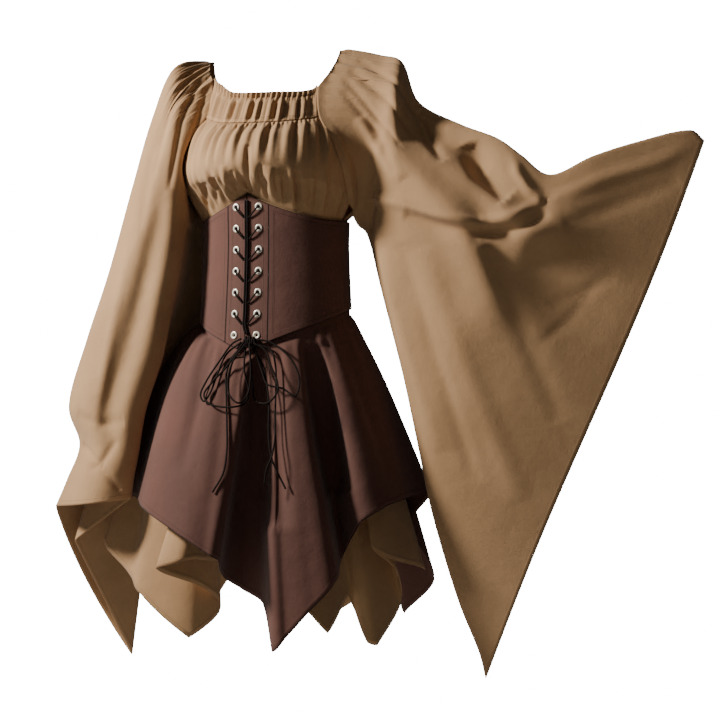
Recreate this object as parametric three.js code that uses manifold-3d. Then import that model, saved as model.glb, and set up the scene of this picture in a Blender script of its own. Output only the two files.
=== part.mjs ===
// Medieval gown: gathered blouse with butterfly sleeves, laced underbust bodice and two pointed skirts.
// Millimetres, +Z up. The gown faces -Y and its left side is +X. The origin is midway between the
// shoulders, at the height of the neckline there, where a wearer holds the gown up.
import * as THREE from 'three';
import { mergeVertices } from 'three/addons/utils/BufferGeometryUtils.js';
import Module from 'manifold-3d';

const wasm = await Module();
wasm.setup();

// Cloth thicknesses and the gaps left between sewn pieces
const COTTON = 1.2;
const TWILL = 1.5;
const BODICE_WALL = 2.6;
const SEAM_GAP = 1.1;
const CLEAR = 0.4;

// Sleeves and skirts are laid out across, toward and up, in a frame turned about the upright axis
const SHOW_TURN = THREE.MathUtils.degToRad(27);
const TURN_COS = Math.cos(SHOW_TURN);
const TURN_SIN = Math.sin(SHOW_TURN);

const RAD = Math.PI / 180;
const { clamp, lerp, smoothstep } = THREE.MathUtils;

function turned(across, toward, z) {
  return new THREE.Vector3(across * TURN_COS + toward * TURN_SIN, across * TURN_SIN - toward * TURN_COS, z);
}

// Materials
const tan = () => new THREE.MeshStandardMaterial({ color: 0xb8946a, roughness: 0.9, side: THREE.DoubleSide });
const brown = () => new THREE.MeshStandardMaterial({ color: 0x5d4038, roughness: 0.85, side: THREE.DoubleSide });
const nickel = () => new THREE.MeshStandardMaterial({ color: 0xc9c4b8, roughness: 0.3, metalness: 1 });
const darkCord = () => new THREE.MeshStandardMaterial({ color: 0x1d1512, roughness: 0.7 });

// Interpolation through the rows of a table: each row is an array whose first number is its place
function tableAt(rows, place) {
  const last = rows.length - 1;
  const x = clamp(place, rows[0][0], rows[last][0]);
  let k = 0;
  while (k < last - 1 && x > rows[k + 1][0]) k += 1;
  const [p0, p1, p2, p3] = [rows[Math.max(k - 1, 0)], rows[k], rows[k + 1], rows[Math.min(k + 2, last)]];
  const span = p2[0] - p1[0];
  const f = (x - p1[0]) / span;
  return p1.map((value, c) => {
    const m1 = ((p2[c] - p0[c]) / (p2[0] - p0[0])) * span;
    const m2 = ((p3[c] - p1[c]) / (p3[0] - p1[0])) * span;
    return hermite(value, p2[c], m1, m2, f);
  });
}

function hermite(a, b, ma, mb, f) {
  const f2 = f * f;
  const f3 = f2 * f;
  return a * (2 * f3 - 3 * f2 + 1) + ma * (f3 - 2 * f2 + f) + b * (3 * f2 - 2 * f3) + mb * (f3 - f2);
}

// A cloth wall through a grid of points: surface(i, j) runs around with i and down with j
function clothWall(surface, columns, rows, thickness, closed) {
  const count = closed ? columns : columns + 1;
  const points = [];
  for (let j = 0; j <= rows; j += 1) {
    for (let i = 0; i < count; i += 1) points.push(surface(i / columns, j / rows));
  }
  const at = (i, j) => points[j * count + (closed ? (i + count) % count : clamp(i, 0, columns))];
  const outer = [];
  const inner = [];
  for (let j = 0; j <= rows; j += 1) {
    for (let i = 0; i < count; i += 1) {
      const along = at(i + 1, j).clone().sub(at(i - 1, j));
      const down = at(i, Math.min(j + 1, rows)).clone().sub(at(i, Math.max(j - 1, 0)));
      const normal = down.cross(along).normalize().multiplyScalar(thickness / 2);
      outer.push(at(i, j).clone().add(normal));
      inner.push(at(i, j).clone().sub(normal));
    }
  }
  const triangles = [];
  const quad = (a, b, c, d) => triangles.push(a, b, c, a, c, d);
  const o = (i, j) => j * count + (closed ? i % count : i);
  const n = (i, j) => outer.length + o(i, j);
  for (let i = 0; i < columns; i += 1) {
    for (let j = 0; j < rows; j += 1) {
      quad(o(i, j), o(i, j + 1), o(i + 1, j + 1), o(i + 1, j));
      quad(n(i, j), n(i + 1, j), n(i + 1, j + 1), n(i, j + 1));
    }
    quad(o(i, 0), o(i + 1, 0), n(i + 1, 0), n(i, 0));
    quad(o(i, rows), n(i, rows), n(i + 1, rows), o(i + 1, rows));
  }
  if (!closed) {
    for (let j = 0; j < rows; j += 1) {
      quad(n(0, j), n(0, j + 1), o(0, j + 1), o(0, j));
      quad(o(columns, j), o(columns, j + 1), n(columns, j + 1), n(columns, j));
    }
  }
  return geometryFrom([...outer, ...inner], triangles);
}

function geometryFrom(points, triangles) {
  let volume = 0;
  for (let k = 0; k < triangles.length; k += 3) {
    const [a, b, c] = [0, 1, 2].map((step) => points[triangles[k + step]]);
    volume += a.dot(b.clone().cross(c));
  }
  if (volume < 0) {
    for (let k = 0; k < triangles.length; k += 3) {
      [triangles[k + 1], triangles[k + 2]] = [triangles[k + 2], triangles[k + 1]];
    }
  }
  const geometry = new THREE.BufferGeometry();
  geometry.setAttribute('position', new THREE.Float32BufferAttribute(points.flatMap((p) => [p.x, p.y, p.z]), 3));
  geometry.setIndex(triangles);
  geometry.computeVertexNormals();
  return geometry;
}

// Underbust bodice: its edges and its half widths at each height
const BODICE_EDGE = { sideTop: -269, vRise: 41, vHalf: 75, sideBottom: -405, vDrop: 70, vBottomHalf: 110 };

// Columns: height, half width, depth to the front, depth to the back
const BODICE_GIRTH = [
  [-480, 130, 98, 94],
  [-440, 129, 96, 92],
  [-380, 126, 92, 87],
  [-310, 123.5, 89, 84],
  [-270, 124, 89.5, 86],
  [-215, 125, 90.5, 88],
];

const wrapped = (angle) => ((angle + 540) % 360) - 180;
const offFront = (angle) => Math.abs(wrapped(angle));

function bodiceTop(angle) {
  const inside = Math.max(0, 1 - offFront(angle) / BODICE_EDGE.vHalf);
  return BODICE_EDGE.sideTop + BODICE_EDGE.vRise * inside ** 2;
}

function bodiceBottom(angle) {
  const inside = Math.max(0, 1 - offFront(angle) / BODICE_EDGE.vBottomHalf);
  return BODICE_EDGE.sideBottom - BODICE_EDGE.vDrop * inside ** 1.5;
}

// A point at an angle round the waist, moved out from the middle of the bodice's wall
function girthPoint(angle, z, out) {
  const [, halfWidth, front, back] = tableAt(BODICE_GIRTH, z);
  const c = Math.cos(angle * RAD);
  const depth = c > 0 ? front : back;
  return new THREE.Vector3((halfWidth + out) * Math.sin(angle * RAD), -(depth + out) * c, z);
}

function bodicePanel(fromAngle, toAngle, columns, rows) {
  const halfGap = 0.15 / 110 / RAD + 0.03;
  return clothWall((i, j) => {
    const angle = lerp(fromAngle + halfGap, toAngle - halfGap, i);
    return girthPoint(angle, lerp(bodiceTop(angle), bodiceBottom(angle), j), 0);
  }, columns, rows, BODICE_WALL, false);
}

// Blouse: rings from the neckline down, each angle measured from the middle of the front
// Columns: place down the blouse, half width, front depth, back depth, front, side and back heights,
// which the first three rings take from the table below instead
const BLOUSE_RINGS = [
  [0, 115, 72, 72],
  [0.12, 119, 85, 79],
  [0.25, 126, 101, 88],
  [0.42, 141, 126, 97, -143, -136, -140],
  [0.58, 149, 138, 101, -176, -182, -182],
  [0.74, 146, 132, 100, -201, -220, -222],
  [0.86, 138, 114, 95, -216, -246, -250],
];
const TUCK_START = 0.93;
const TUCK_DEPTH = 7;

// Columns: angle, then the heights of the neckline, the casing's foot and the yoke's seam
const NECK_HEIGHTS = [
  [-180, -58, -74, -102],
  [-140, -54, -76, -106],
  [-115, -44, -68, -102],
  [-100, -28, -58, -96],
  [-90, -3, -46, -90],
  [-65, -14, -50, -92],
  [-50, -37, -62, -99],
  [-35, -50, -74, -108],
  [-20, -64, -85, -115],
  [20, -68, -89, -118],
  [50, -64, -86, -112],
  [60, -47, -73, -106],
  [75, -20, -56, -96],
  [90, 0, -44, -88],
  [110, -24, -58, -96],
  [140, -50, -74, -106],
  [180, -58, -74, -102],
];

// Places down the blouse at which the front and back bodice have their rows
const FRONT_ROWS = [0.254, 0.42, 0.58, 0.74, 0.86, TUCK_START, 1];
const BACK_ROWS = [0, 0.2, 0.45, 0.68, 0.86, TUCK_START, 1];
const atRow = (places, j) => places[Math.round(j * (places.length - 1))];

function blouseHeight(angle, front, side, back) {
  const off = offFront(angle);
  if (off > 90) return lerp(side, back, Math.sin((off - 90) * RAD) ** 0.8);
  return lerp(side, front, Math.cos(off * RAD) ** 0.8);
}

function blouseRing(angle, row, ring) {
  const [down, halfWidth, front, back, ...heights] = row;
  const c = Math.cos(angle * RAD);
  const flat = lerp(1.25, 1, clamp(down / 0.5, 0, 1));
  const y = -Math.sign(c) * (c > 0 ? front : back) * Math.abs(c) ** flat;
  const z = heights.length ? blouseHeight(angle, ...heights) : tableAt(NECK_HEIGHTS, wrapped(angle))[1 + ring];
  return [down, halfWidth * Math.sin(angle * RAD), y, z];
}

function blousePoint(angle, down) {
  const inside = -(BODICE_WALL + COTTON) / 2 - CLEAR;
  const start = girthPoint(angle, bodiceTop(angle) + 3, inside);
  const end = girthPoint(angle, bodiceTop(angle) - TUCK_DEPTH, inside);
  const rows = BLOUSE_RINGS.map((row, ring) => blouseRing(angle, row, ring));
  rows.push([TUCK_START, start.x, start.y, start.z], [1, end.x, end.y, end.z]);
  const [, x, y, z] = tableAt(rows, down);
  return new THREE.Vector3(x, y, z);
}

// Gathers: the cloth waves in and out beside an elastic or a seam and dies away from it
function gathered(angle, down, count, height, fade) {
  const uneven = 1 + 0.35 * Math.sin(angle * 0.31 + 1) + 0.25 * Math.sin(angle * 0.83);
  const swing = 0.5 * Math.sin(angle * 0.057 + down * 3);
  return height * uneven * fade * Math.cos(count * angle * RAD + swing);
}

function pushedOut(point, by) {
  const away = new THREE.Vector3(point.x, point.y, 0).normalize();
  return point.clone().addScaledVector(away, by);
}

const NECK_GATHERS = 84;
const SEAM_GATHERS = 66;
const BACK_GATHERS = 60;

// Raglan seams: angle at each place down the blouse, on the wearer's left, right and at the back
const RAGLAN_LEFT = [[0, 53], [0.25, 56], [0.5, 66], [0.78, 77], [0.93, 86], [1, 90]];
const RAGLAN_RIGHT = [[0, 50], [0.25, 43], [0.5, 60], [0.78, 75], [0.93, 86], [1, 90]];
const RAGLAN_BACK = [[0, 127], [0.25, 124], [0.5, 114], [0.78, 103], [0.93, 94], [1, 90]];
const ARMPIT = 0.86;
const seamAngle = (table, down) => tableAt(table, down)[1];
const halfSeam = (SEAM_GAP / 2 / 120) / RAD;

// The yoke's ends stand a little further from the sleeves, in degrees
const YOKE_INSET = 0.55;

function blouseFront(places, columns, gatherCount, inset) {
  return clothWall((i, j) => {
    const down = atRow(places, j);
    const from = -seamAngle(RAGLAN_RIGHT, down) + halfSeam + inset;
    const to = seamAngle(RAGLAN_LEFT, down) - halfSeam - inset;
    const angle = lerp(from, to, i);
    const calm = smoothstep(i, 0, 0.05) * (1 - smoothstep(i, 0.95, 1));
    return pushedOut(blousePoint(angle, down), calm * frontGather(angle, down, gatherCount));
  }, columns, places.length - 1, COTTON, false);
}

function frontGather(angle, down, count) {
  const neck = 1 - smoothstep(down, 0.08, 0.3) * 0.55;
  const low = 1 - smoothstep(down, 0.3, 0.72);
  const hem = smoothstep(down, 0.62, 0.86) * (1 - smoothstep(down, 0.88, 0.93));
  const centre = 9 * Math.exp(-((angle - 2) ** 2) / 18) * hem;
  return gathered(angle, down, count, 1.9, Math.min(neck, low) + 0.9 * hem) - centre;
}

function blouseBack(columns) {
  return clothWall((i, j) => {
    const down = atRow(BACK_ROWS, j);
    const left = seamAngle(RAGLAN_BACK, down);
    const angle = lerp(left + halfSeam, 360 - left - halfSeam, i);
    const calm = smoothstep(i, 0, 0.06) * (1 - smoothstep(i, 0.94, 1));
    return pushedOut(blousePoint(angle, down), gathered(angle, down, BACK_GATHERS, 1.9, backFade(down) * calm));
  }, columns, BACK_ROWS.length - 1, COTTON, false);
}

function backFade(down) {
  const low = smoothstep(down, 0.6, 0.86) * (1 - smoothstep(down, 0.88, TUCK_START));
  return 1 - smoothstep(down, 0.05, 0.5) + 0.8 * low;
}

// Where a sleeve is sewn on: from the top of the shoulder round the front to the armpit and back
const NECK_SHARE = 0.12;

function armhole(side, around) {
  const front = around <= 0.5;
  const half = front ? around * 2 : (1 - around) * 2;
  const neckShare = NECK_SHARE * 2;
  const frontTable = side > 0 ? RAGLAN_LEFT : RAGLAN_RIGHT;
  const seam = (down) => (front ? seamAngle(frontTable, down) + halfSeam : seamAngle(RAGLAN_BACK, down) - halfSeam);
  if (half < neckShare) return blousePoint(side * lerp(90, seam(0), half / neckShare), 0);
  const down = ARMPIT * ((half - neckShare) / (1 - neckShare)) ** 0.85;
  return blousePoint(side * seam(down), down);
}

// Spread sleeve: the top fold and the underarm fold, from the shoulder to the corners of its edge
// Columns: place, top across, toward, height, underarm across, toward, height, half depth
const LEFT_SLEEVE = [
  [0.09, 166, 60, -11, 130, 44, -272, 40],
  [0.17, 201, 75, -23, 143, 46, -284, 47],
  [0.25, 225, 85, -84, 152, 54, -308, 50],
  [0.36, 288, 115, -123, 166, 68, -369, 48],
  [0.46, 343, 150, -149, 184, 75, -440, 42],
  [0.55, 378, 165, -176, 203, 85, -517, 36],
  [0.65, 421, 175, -207, 224, 100, -618, 30],
  [0.76, 484, 185, -180, 247, 110, -728, 24],
  [0.87, 554, 190, -158, 285, 120, -855, 20],
  [0.97, 630, 195, -142, 318, 128, -938, 17],
  [1, 650, 196, -158, 327, 130, -975, 16],
];

// Folds of the spread sleeve's front: place, share of the way down, height, half width in each sense
const LEFT_FOLDS = [
  { place: 0.16, down: 0.22, high: 14, long: 0.1, wide: 0.2 },
  { place: 0.27, down: 0.12, high: -16, long: 0.05, wide: 0.16 },
  { place: 0.45, down: 0.16, high: -26, long: 0.14, wide: 0.09 },
  { place: 0.6, down: 0.2, high: 22, long: 0.22, wide: 0.07 },
  { place: 0.5, down: 0.42, high: 16, long: 0.25, wide: 0.09 },
  { place: 0.78, down: 0.34, high: -14, long: 0.16, wide: 0.1 },
];

const hump = (x, middle, half) => Math.exp(-(((x - middle) / half) ** 2));

const LEFT_ROWS = [0, 0.03, 0.09, 0.17, 0.25, 0.36, 0.46, 0.55, 0.65, 0.76, 0.87, 0.97, 1];
const CUFF_BOW = 5;

function leftSleeveRow(row, around) {
  const [place, ta, tt, tz, ba, bt, bz, depth] = row;
  const front = around <= 0.5;
  const down = front ? around * 2 : (1 - around) * 2;
  const bulge = depth * Math.sin(Math.PI * down) ** 0.7 + 0.12 * depth * Math.sin(Math.PI * down);
  let toward = lerp(tt, bt, down) + (front ? bulge : -bulge);
  if (front) {
    for (const fold of LEFT_FOLDS) {
      toward += fold.high * hump(place, fold.place, fold.long) * hump(down, fold.down, fold.wide);
    }
  }
  const bow = CUFF_BOW * Math.sin(2 * Math.PI * down) * smoothstep(place, 0.8, 1);
  return [place, lerp(ta, ba, down) + bow, toward, lerp(tz, bz, down)];
}

// Hanging sleeve: each ring runs from its outer edge over the front to the edge beside the skirt,
// back through a hollow that clears the skirt, round the back corner and out again
// Columns: place, then outer, front, hollow and back corners, each across, toward and height
const RIGHT_SLEEVE = [
  [0.09, -162, -6, -20, -138, 0, -262, -130, -40, -262, -126, -80, -262],
  [0.18, -198, -12, -95, -143, 12, -280, -134, -46, -284, -118, -100, -286],
  [0.3, -231, -18, -205, -150, 18, -330, -142, -50, -336, -104, -112, -342],
  [0.43, -270, -20, -345, -163, 20, -400, -164, -50, -412, -108, -120, -424],
  [0.56, -306, -22, -454, -178, 24, -480, -212, -50, -500, -140, -128, -524],
  [0.7, -335, -24, -560, -205, 26, -565, -272, -50, -600, -190, -132, -640],
  [0.8, -318, -26, -622, -216, 26, -630, -298, -50, -680, -210, -136, -745],
  [0.9, -338, -28, -678, -224, 24, -672, -316, -50, -730, -228, -142, -850],
  [1, -357, -30, -722, -229, 22, -706, -330, -50, -780, -246, -150, -985],
];
const RIGHT_ROWS = [0, 0.03, 0.09, 0.18, 0.3, 0.43, 0.56, 0.7, 0.8, 0.9, 1];
const RIGHT_CORNERS = [0, 0.42, 0.53, 0.64, 1];
const RIGHT_FRONT_DEPTH = 40;
const RIGHT_BACK_DEPTH = 34;
const RIGHT_VALLEY = 30;
const RIGHT_HEM_SWELL = 20;

function rightSleeveRow(row, around) {
  const place = row[0];
  const corner = (k) => row.slice(1 + 3 * (k % 4), 4 + 3 * (k % 4));
  let k = 0;
  while (k < 3 && around > RIGHT_CORNERS[k + 1]) k += 1;
  const f = (around - RIGHT_CORNERS[k]) / (RIGHT_CORNERS[k + 1] - RIGHT_CORNERS[k]);
  const [from, to] = [corner(k), corner(k + 1)];
  const point = from.map((value, c) => lerp(value, to[c], f));
  const arch = Math.sin(Math.PI * f) ** 0.75;
  if (k === 0) point[1] += RIGHT_FRONT_DEPTH * arch - rightValley(place, f);
  if (k === 3) {
    point[0] -= RIGHT_HEM_SWELL * arch * smoothstep(place, 0.7, 1);
    point[1] -= RIGHT_BACK_DEPTH * arch;
  }
  return [place, ...point];
}

function rightValley(place, over) {
  return RIGHT_VALLEY * hump(over, 0.56, 0.17) * smoothstep(place, 0.12, 0.4) * (1 - smoothstep(place, 0.66, 0.92));
}

const PUFF = 3;
const SHOULDER_GATHERS = 34;
const SEAM_LIFT = 1.4;
const BODY_CLEARANCE = 7;

function sleevePoint(side, rowOf, rows, around, place) {
  const first = armhole(side, around);
  const firstTurned = turnedBack(first);
  const table = [[0, firstTurned.x, firstTurned.y, firstTurned.z], ...rows.map((row) => rowOf(row, around))];
  const [, across, toward, z] = tableAt(table, place);
  const point = turned(across, toward, z);
  const shoulder = hump(around, 0, 0.17) + hump(around, 1, 0.17);
  const fade = (1 - smoothstep(place, 0.02, 0.2)) * shoulder * smoothstep(place, 0, 0.02);
  point.z += PUFF * fade * Math.cos(around * 2 * Math.PI * SHOULDER_GATHERS);
  return clearOfBody(point, lerp(SEAM_LIFT, BODY_CLEARANCE, smoothstep(place, 0, 0.03)));
}

// Moves a point that would dip into the blouse or the bodice out to a given clearance from them
function clearOfBody(point, clearance) {
  const [, halfWidth, front, back] = tableAt(BLOUSE_RINGS, downAt(0, point.z));
  const angle = Math.atan2(point.x / halfWidth, -point.y / (point.y < 0 ? front : back)) / RAD;
  if (point.z > blousePoint(angle, 0).z - 0.5) return point;
  const inBodice = point.z < bodiceTop(angle);
  const wall = inBodice ? girthPoint(angle, point.z, BODICE_WALL / 2) : blousePoint(angle, downAt(angle, point.z));
  const reach = Math.hypot(point.x, point.y);
  const least = Math.hypot(wall.x, wall.y) + clearance;
  return reach < least ? new THREE.Vector3(point.x * least / reach, point.y * least / reach, point.z) : point;
}

// Place down the blouse at which it reaches a height, by halving
function downAt(angle, z) {
  let [high, low] = [0, TUCK_START];
  for (let step = 0; step < 12; step += 1) {
    const middle = (high + low) / 2;
    if (blousePoint(angle, middle).z > z) high = middle;
    else low = middle;
  }
  return (high + low) / 2;
}

function turnedBack(p) {
  return new THREE.Vector3(p.x * TURN_COS + p.y * TURN_SIN, p.x * TURN_SIN - p.y * TURN_COS, p.z);
}

function leftSleeve() {
  const surface = (i, j) => sleevePoint(1, leftSleeveRow, LEFT_SLEEVE, i, atRow(LEFT_ROWS, j));
  return clothWall(surface, 32, LEFT_ROWS.length - 1, COTTON, true);
}

function rightSleeve() {
  const surface = (i, j) => sleevePoint(-1, rightSleeveRow, RIGHT_SLEEVE, i, atRow(RIGHT_ROWS, j));
  return clothWall(surface, 36, RIGHT_ROWS.length - 1, COTTON, true);
}

// Skirts: rulings run from the waist to the hem, one row for each turn of the hem
// Columns: angle at the waist, hem across, hem toward, hem height
const OVERSKIRT_HEM = [
  [-82, -272, -64, -702],
  [-71, -236, -24, -704],
  [-61, -219, 22, -706],
  [-47, -196, 118, -716],
  [-31, -140, 186, -748],
  [-12, -100, 204, -772],
  [4, -78, 196, -786],
  [7.5, -74, 136, -818],
  [9.5, -46, 104, -842],
  [11.5, -14, 124, -859],
  [14, 4, 204, -922],
  [19, 26, 210, -898],
  [27, 60, 210, -860],
  [36, 99, 192, -817],
  [45, 106, 96, -796],
  [55, 136, 158, -732],
  [68, 176, 148, -708],
  [84, 214, 104, -697],
  [104, 246, 32, -695],
  [113, 216, -22, -752],
  [119, 256, -70, -846],
  [123, 208, -104, -906],
  [129, 196, -160, -850],
  [136, 134, -122, -806],
  [144, 152, -206, -760],
  [153, 110, -228, -742],
  [163, 62, -150, -772],
  [172, 46, -238, -830],
  [180, 6, -246, -900],
  [190, -30, -236, -850],
  [200, -46, -152, -800],
  [211, -92, -228, -762],
  [222, -134, -208, -742],
  [233, -128, -128, -770],
  [243, -176, -176, -826],
  [251, -194, -164, -880],
  [259, -194, -124, -810],
  [268, -186, -76, -750],
];

const UNDERSKIRT_HEM = [
  [-82, -282, -62, -774],
  [-71, -236, -6, -830],
  [-60, -213, 34, -856],
  [-47, -134, 62, -922],
  [-38, -86, 30, -880],
  [-28, -112, 80, -840],
  [-19, -176, 142, -805],
  [-9, -146, 172, -793],
  [0, -116, 156, -788],
  [5, -80, 88, -800],
  [9, -44, 62, -815],
  [13, 2, 106, -838],
  [19, 44, 156, -858],
  [29, 86, 148, -902],
  [40, 116, 66, -856],
  [52, 145, 58, -929],
  [56, 161, 54, -935],
  [64, 200, 10, -872],
  [70, 190, 74, -812],
  [75, 152, 122, -772],
  [84, 180, 106, -792],
  [96, 238, 22, -819],
  [108, 190, -30, -800],
  [118, 190, -62, -780],
  [127, 146, -90, -786],
  [135, 112, -94, -810],
  [143, 134, -178, -884],
  [151, 96, -202, -915],
  [161, 44, -118, -850],
  [172, 28, -178, -800],
  [184, -10, -184, -780],
  [196, -42, -122, -790],
  [208, -90, -196, -860],
  [219, -118, -174, -912],
  [231, -108, -94, -840],
  [242, -150, -136, -790],
  [251, -164, -124, -772],
  [261, -150, -74, -768],
  [269, -176, -66, -770],
];

const SKIRT_GAP = 1.2;
const OVER_INSET = -(BODICE_WALL + TWILL) / 2 - SKIRT_GAP;
const UNDER_INSET = OVER_INSET - (TWILL + COTTON) / 2 - 2 * CLEAR;
const SKIRT_TUCK = 10;
const SKIRT_CALM = 9;
const SKIRT_ROWS = 5;

// How far the skirts round out over the hip, most on the wearer's right
function hipRound(angle) {
  return 0.06 + 0.15 * hump(angle, -66, 26);
}

function hemAt(table, around) {
  const from = table[0][0];
  const angle = from + around * 360;
  const rows = [...table, [from + 360, ...table[0].slice(1)]];
  const before = [table[table.length - 1][0] - 360, ...table[table.length - 1].slice(1)];
  const after = [table[1][0] + 360, ...table[1].slice(1)];
  return tableAt([before, ...rows, after], angle);
}

function skirtPoint(table, around, down, inset) {
  const [angle, across, toward, height] = hemAt(table, around);
  const edge = bodiceBottom(angle);
  if (down < 0.02) return girthPoint(angle, edge + SKIRT_TUCK, inset);
  const top = girthPoint(angle, edge - SKIRT_CALM, inset);
  const hem = turned(across, toward, height);
  const f = (down - 0.02) / 0.98;
  const spread = f + hipRound(angle) * Math.sin(Math.PI * f ** 0.56);
  return new THREE.Vector3(lerp(top.x, hem.x, spread), lerp(top.y, hem.y, spread), lerp(top.z, hem.z, f));
}

// Two columns for each row of the hem's table, so that every corner of the hem is met
function skirt(table, inset, thickness) {
  const columns = 2 * table.length;
  return clothWall((i, j) => {
    const row = i * table.length;
    const [from, to] = [hemAngle(table, Math.floor(row)), hemAngle(table, Math.floor(row) + 1)];
    const around = (lerp(from, to, row % 1) - table[0][0]) / 360;
    const down = j < 1e-6 ? 0 : Math.max(0.021, (j * SKIRT_ROWS - 1) / (SKIRT_ROWS - 1) * 0.98 + 0.02);
    return skirtPoint(table, around, down, inset);
  }, columns, SKIRT_ROWS, thickness, true);
}

function hemAngle(table, row) {
  return table[row % table.length][0] + (row >= table.length ? 360 : 0);
}

// Boolean cuts
function solidOf(geometry) {
  const bare = geometry.clone();
  bare.deleteAttribute('normal');
  bare.deleteAttribute('uv');
  const merged = mergeVertices(bare, 1e-4);
  return new wasm.Manifold(new wasm.Mesh({
    numProp: 3,
    vertProperties: new Float32Array(merged.attributes.position.array),
    triVerts: new Uint32Array(merged.index.array),
  }));
}

function geometryOf(solid) {
  const mesh = solid.getMesh();
  const geometry = new THREE.BufferGeometry();
  geometry.setAttribute('position', new THREE.Float32BufferAttribute(mesh.vertProperties, 3));
  geometry.setIndex([...mesh.triVerts]);
  geometry.computeVertexNormals();
  return geometry;
}

// Eyelets and their holes
const EYELET = { rows: 7, topZ: -248, pitch: 33.3, offCentre: 20, hole: 2.6, barrel: 3.1, flange: 6.1, cut: 3.5 };
const PLACKET_HALF_ANGLE = 17;

function eyeletFrame(side, row) {
  const z = EYELET.topZ - row * EYELET.pitch;
  const [, halfWidth] = tableAt(BODICE_GIRTH, z);
  const angle = side * Math.asin(EYELET.offCentre / halfWidth) / RAD;
  const centre = girthPoint(angle, z, BODICE_WALL / 2);
  const beside = girthPoint(angle + 1, z, BODICE_WALL / 2).sub(girthPoint(angle - 1, z, BODICE_WALL / 2));
  const below = girthPoint(angle, z - 2, BODICE_WALL / 2).sub(girthPoint(angle, z + 2, BODICE_WALL / 2));
  const out = below.cross(beside).normalize();
  return { centre, out };
}

function placket(side) {
  const [from, to] = side > 0 ? [0, PLACKET_HALF_ANGLE] : [-PLACKET_HALF_ANGLE, 0];
  let solid = solidOf(bodicePanel(from, to, 3, 6));
  for (let row = 0; row < EYELET.rows; row += 1) {
    const { centre, out } = eyeletFrame(side, row);
    const drill = new THREE.CylinderGeometry(EYELET.cut, EYELET.cut, 12, 8);
    drill.applyQuaternion(new THREE.Quaternion().setFromUnitVectors(new THREE.Vector3(0, 1, 0), out));
    drill.translate(centre.x, centre.y, centre.z);
    solid = solid.subtract(solidOf(drill));
  }
  return geometryOf(solid);
}

function eyelet() {
  const { hole, barrel, flange } = EYELET;
  const profile = [[hole, -3], [barrel, -3], [barrel, 0.5], [flange, 0.5], [flange - 0.8, 1.4],
    [hole, 1.2], [hole, -3]];
  return new THREE.LatheGeometry(profile.map(([r, y]) => new THREE.Vector2(r, y)), 9);
}

// Lacing and bow, each cord a tube along its route
const LACE = { strand: 2.6, centre: 3.2, bow: 2.9, drop: 17, shift: 4 };

function cordTube(points, diameter, steps) {
  const path = new THREE.CatmullRomCurve3(points, false, 'centripetal');
  const section = new THREE.Shape();
  const sides = 8;
  for (let k = 0; k < sides; k += 1) {
    const a = (k / sides) * 2 * Math.PI;
    const [x, y] = [diameter / 2 * Math.cos(a), diameter / 2 * Math.sin(a)];
    if (k === 0) section.moveTo(x, y);
    else section.lineTo(x, y);
  }
  return new THREE.ExtrudeGeometry(section, { steps, bevelEnabled: false, extrudePath: path, curveSegments: 1 });
}

function laceStrand(side, row) {
  const { centre, out } = eyeletFrame(side, row);
  const end = girthPoint(side * 2.1, centre.z - LACE.drop, BODICE_WALL / 2 + 2.2);
  const start = centre.clone().addScaledVector(out, -1);
  const risen = centre.clone().addScaledVector(out, 4.2);
  const over = risen.clone().lerp(end, 0.45).addScaledVector(out, 0.9);
  return cordTube([start, risen.clone().addScaledVector(out, -1), over, end], LACE.strand, 4);
}

function centreCord(side) {
  const points = [];
  for (const z of [-238, -275, -310, -345, -380, -412, -434, -446]) {
    const shift = LACE.shift * smoothstep(-z, 434, 446);
    const p = girthPoint(0, z, BODICE_WALL / 2 + LACE.centre / 2 + 0.6);
    points.push(new THREE.Vector3(p.x + shift + side * (LACE.centre / 2 + 0.25), p.y, p.z));
  }
  return cordTube(points, LACE.centre, 14);
}

// How far toward the front of the show frame the gown reaches at a point across and up
function gownFront(across, z) {
  let reach = -Infinity;
  let before = null;
  for (let angle = -50; angle <= 50; angle += 2) {
    const here = turnedBack(frontWall(angle, z));
    if (before && (before.x - across) * (here.x - across) <= 0) {
      const f = (across - before.x) / (here.x - before.x || 1);
      reach = Math.max(reach, lerp(before.y, here.y, f));
    }
    before = here;
  }
  return reach;
}

// The outermost wall at an angle and height: the bodice, or the overskirt below it
function frontWall(angle, z) {
  if (z > bodiceBottom(angle)) return girthPoint(angle, z, BODICE_WALL / 2);
  const around = (angle - OVERSKIRT_HEM[0][0]) / 360;
  const [, , , hemZ] = hemAt(OVERSKIRT_HEM, around);
  const top = bodiceBottom(angle) - SKIRT_CALM;
  const down = 0.02 + 0.98 * clamp((z - top) / (hemZ - top), 0, 1);
  return skirtPoint(OVERSKIRT_HEM, around, down, OVER_INSET + TWILL / 2);
}

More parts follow.
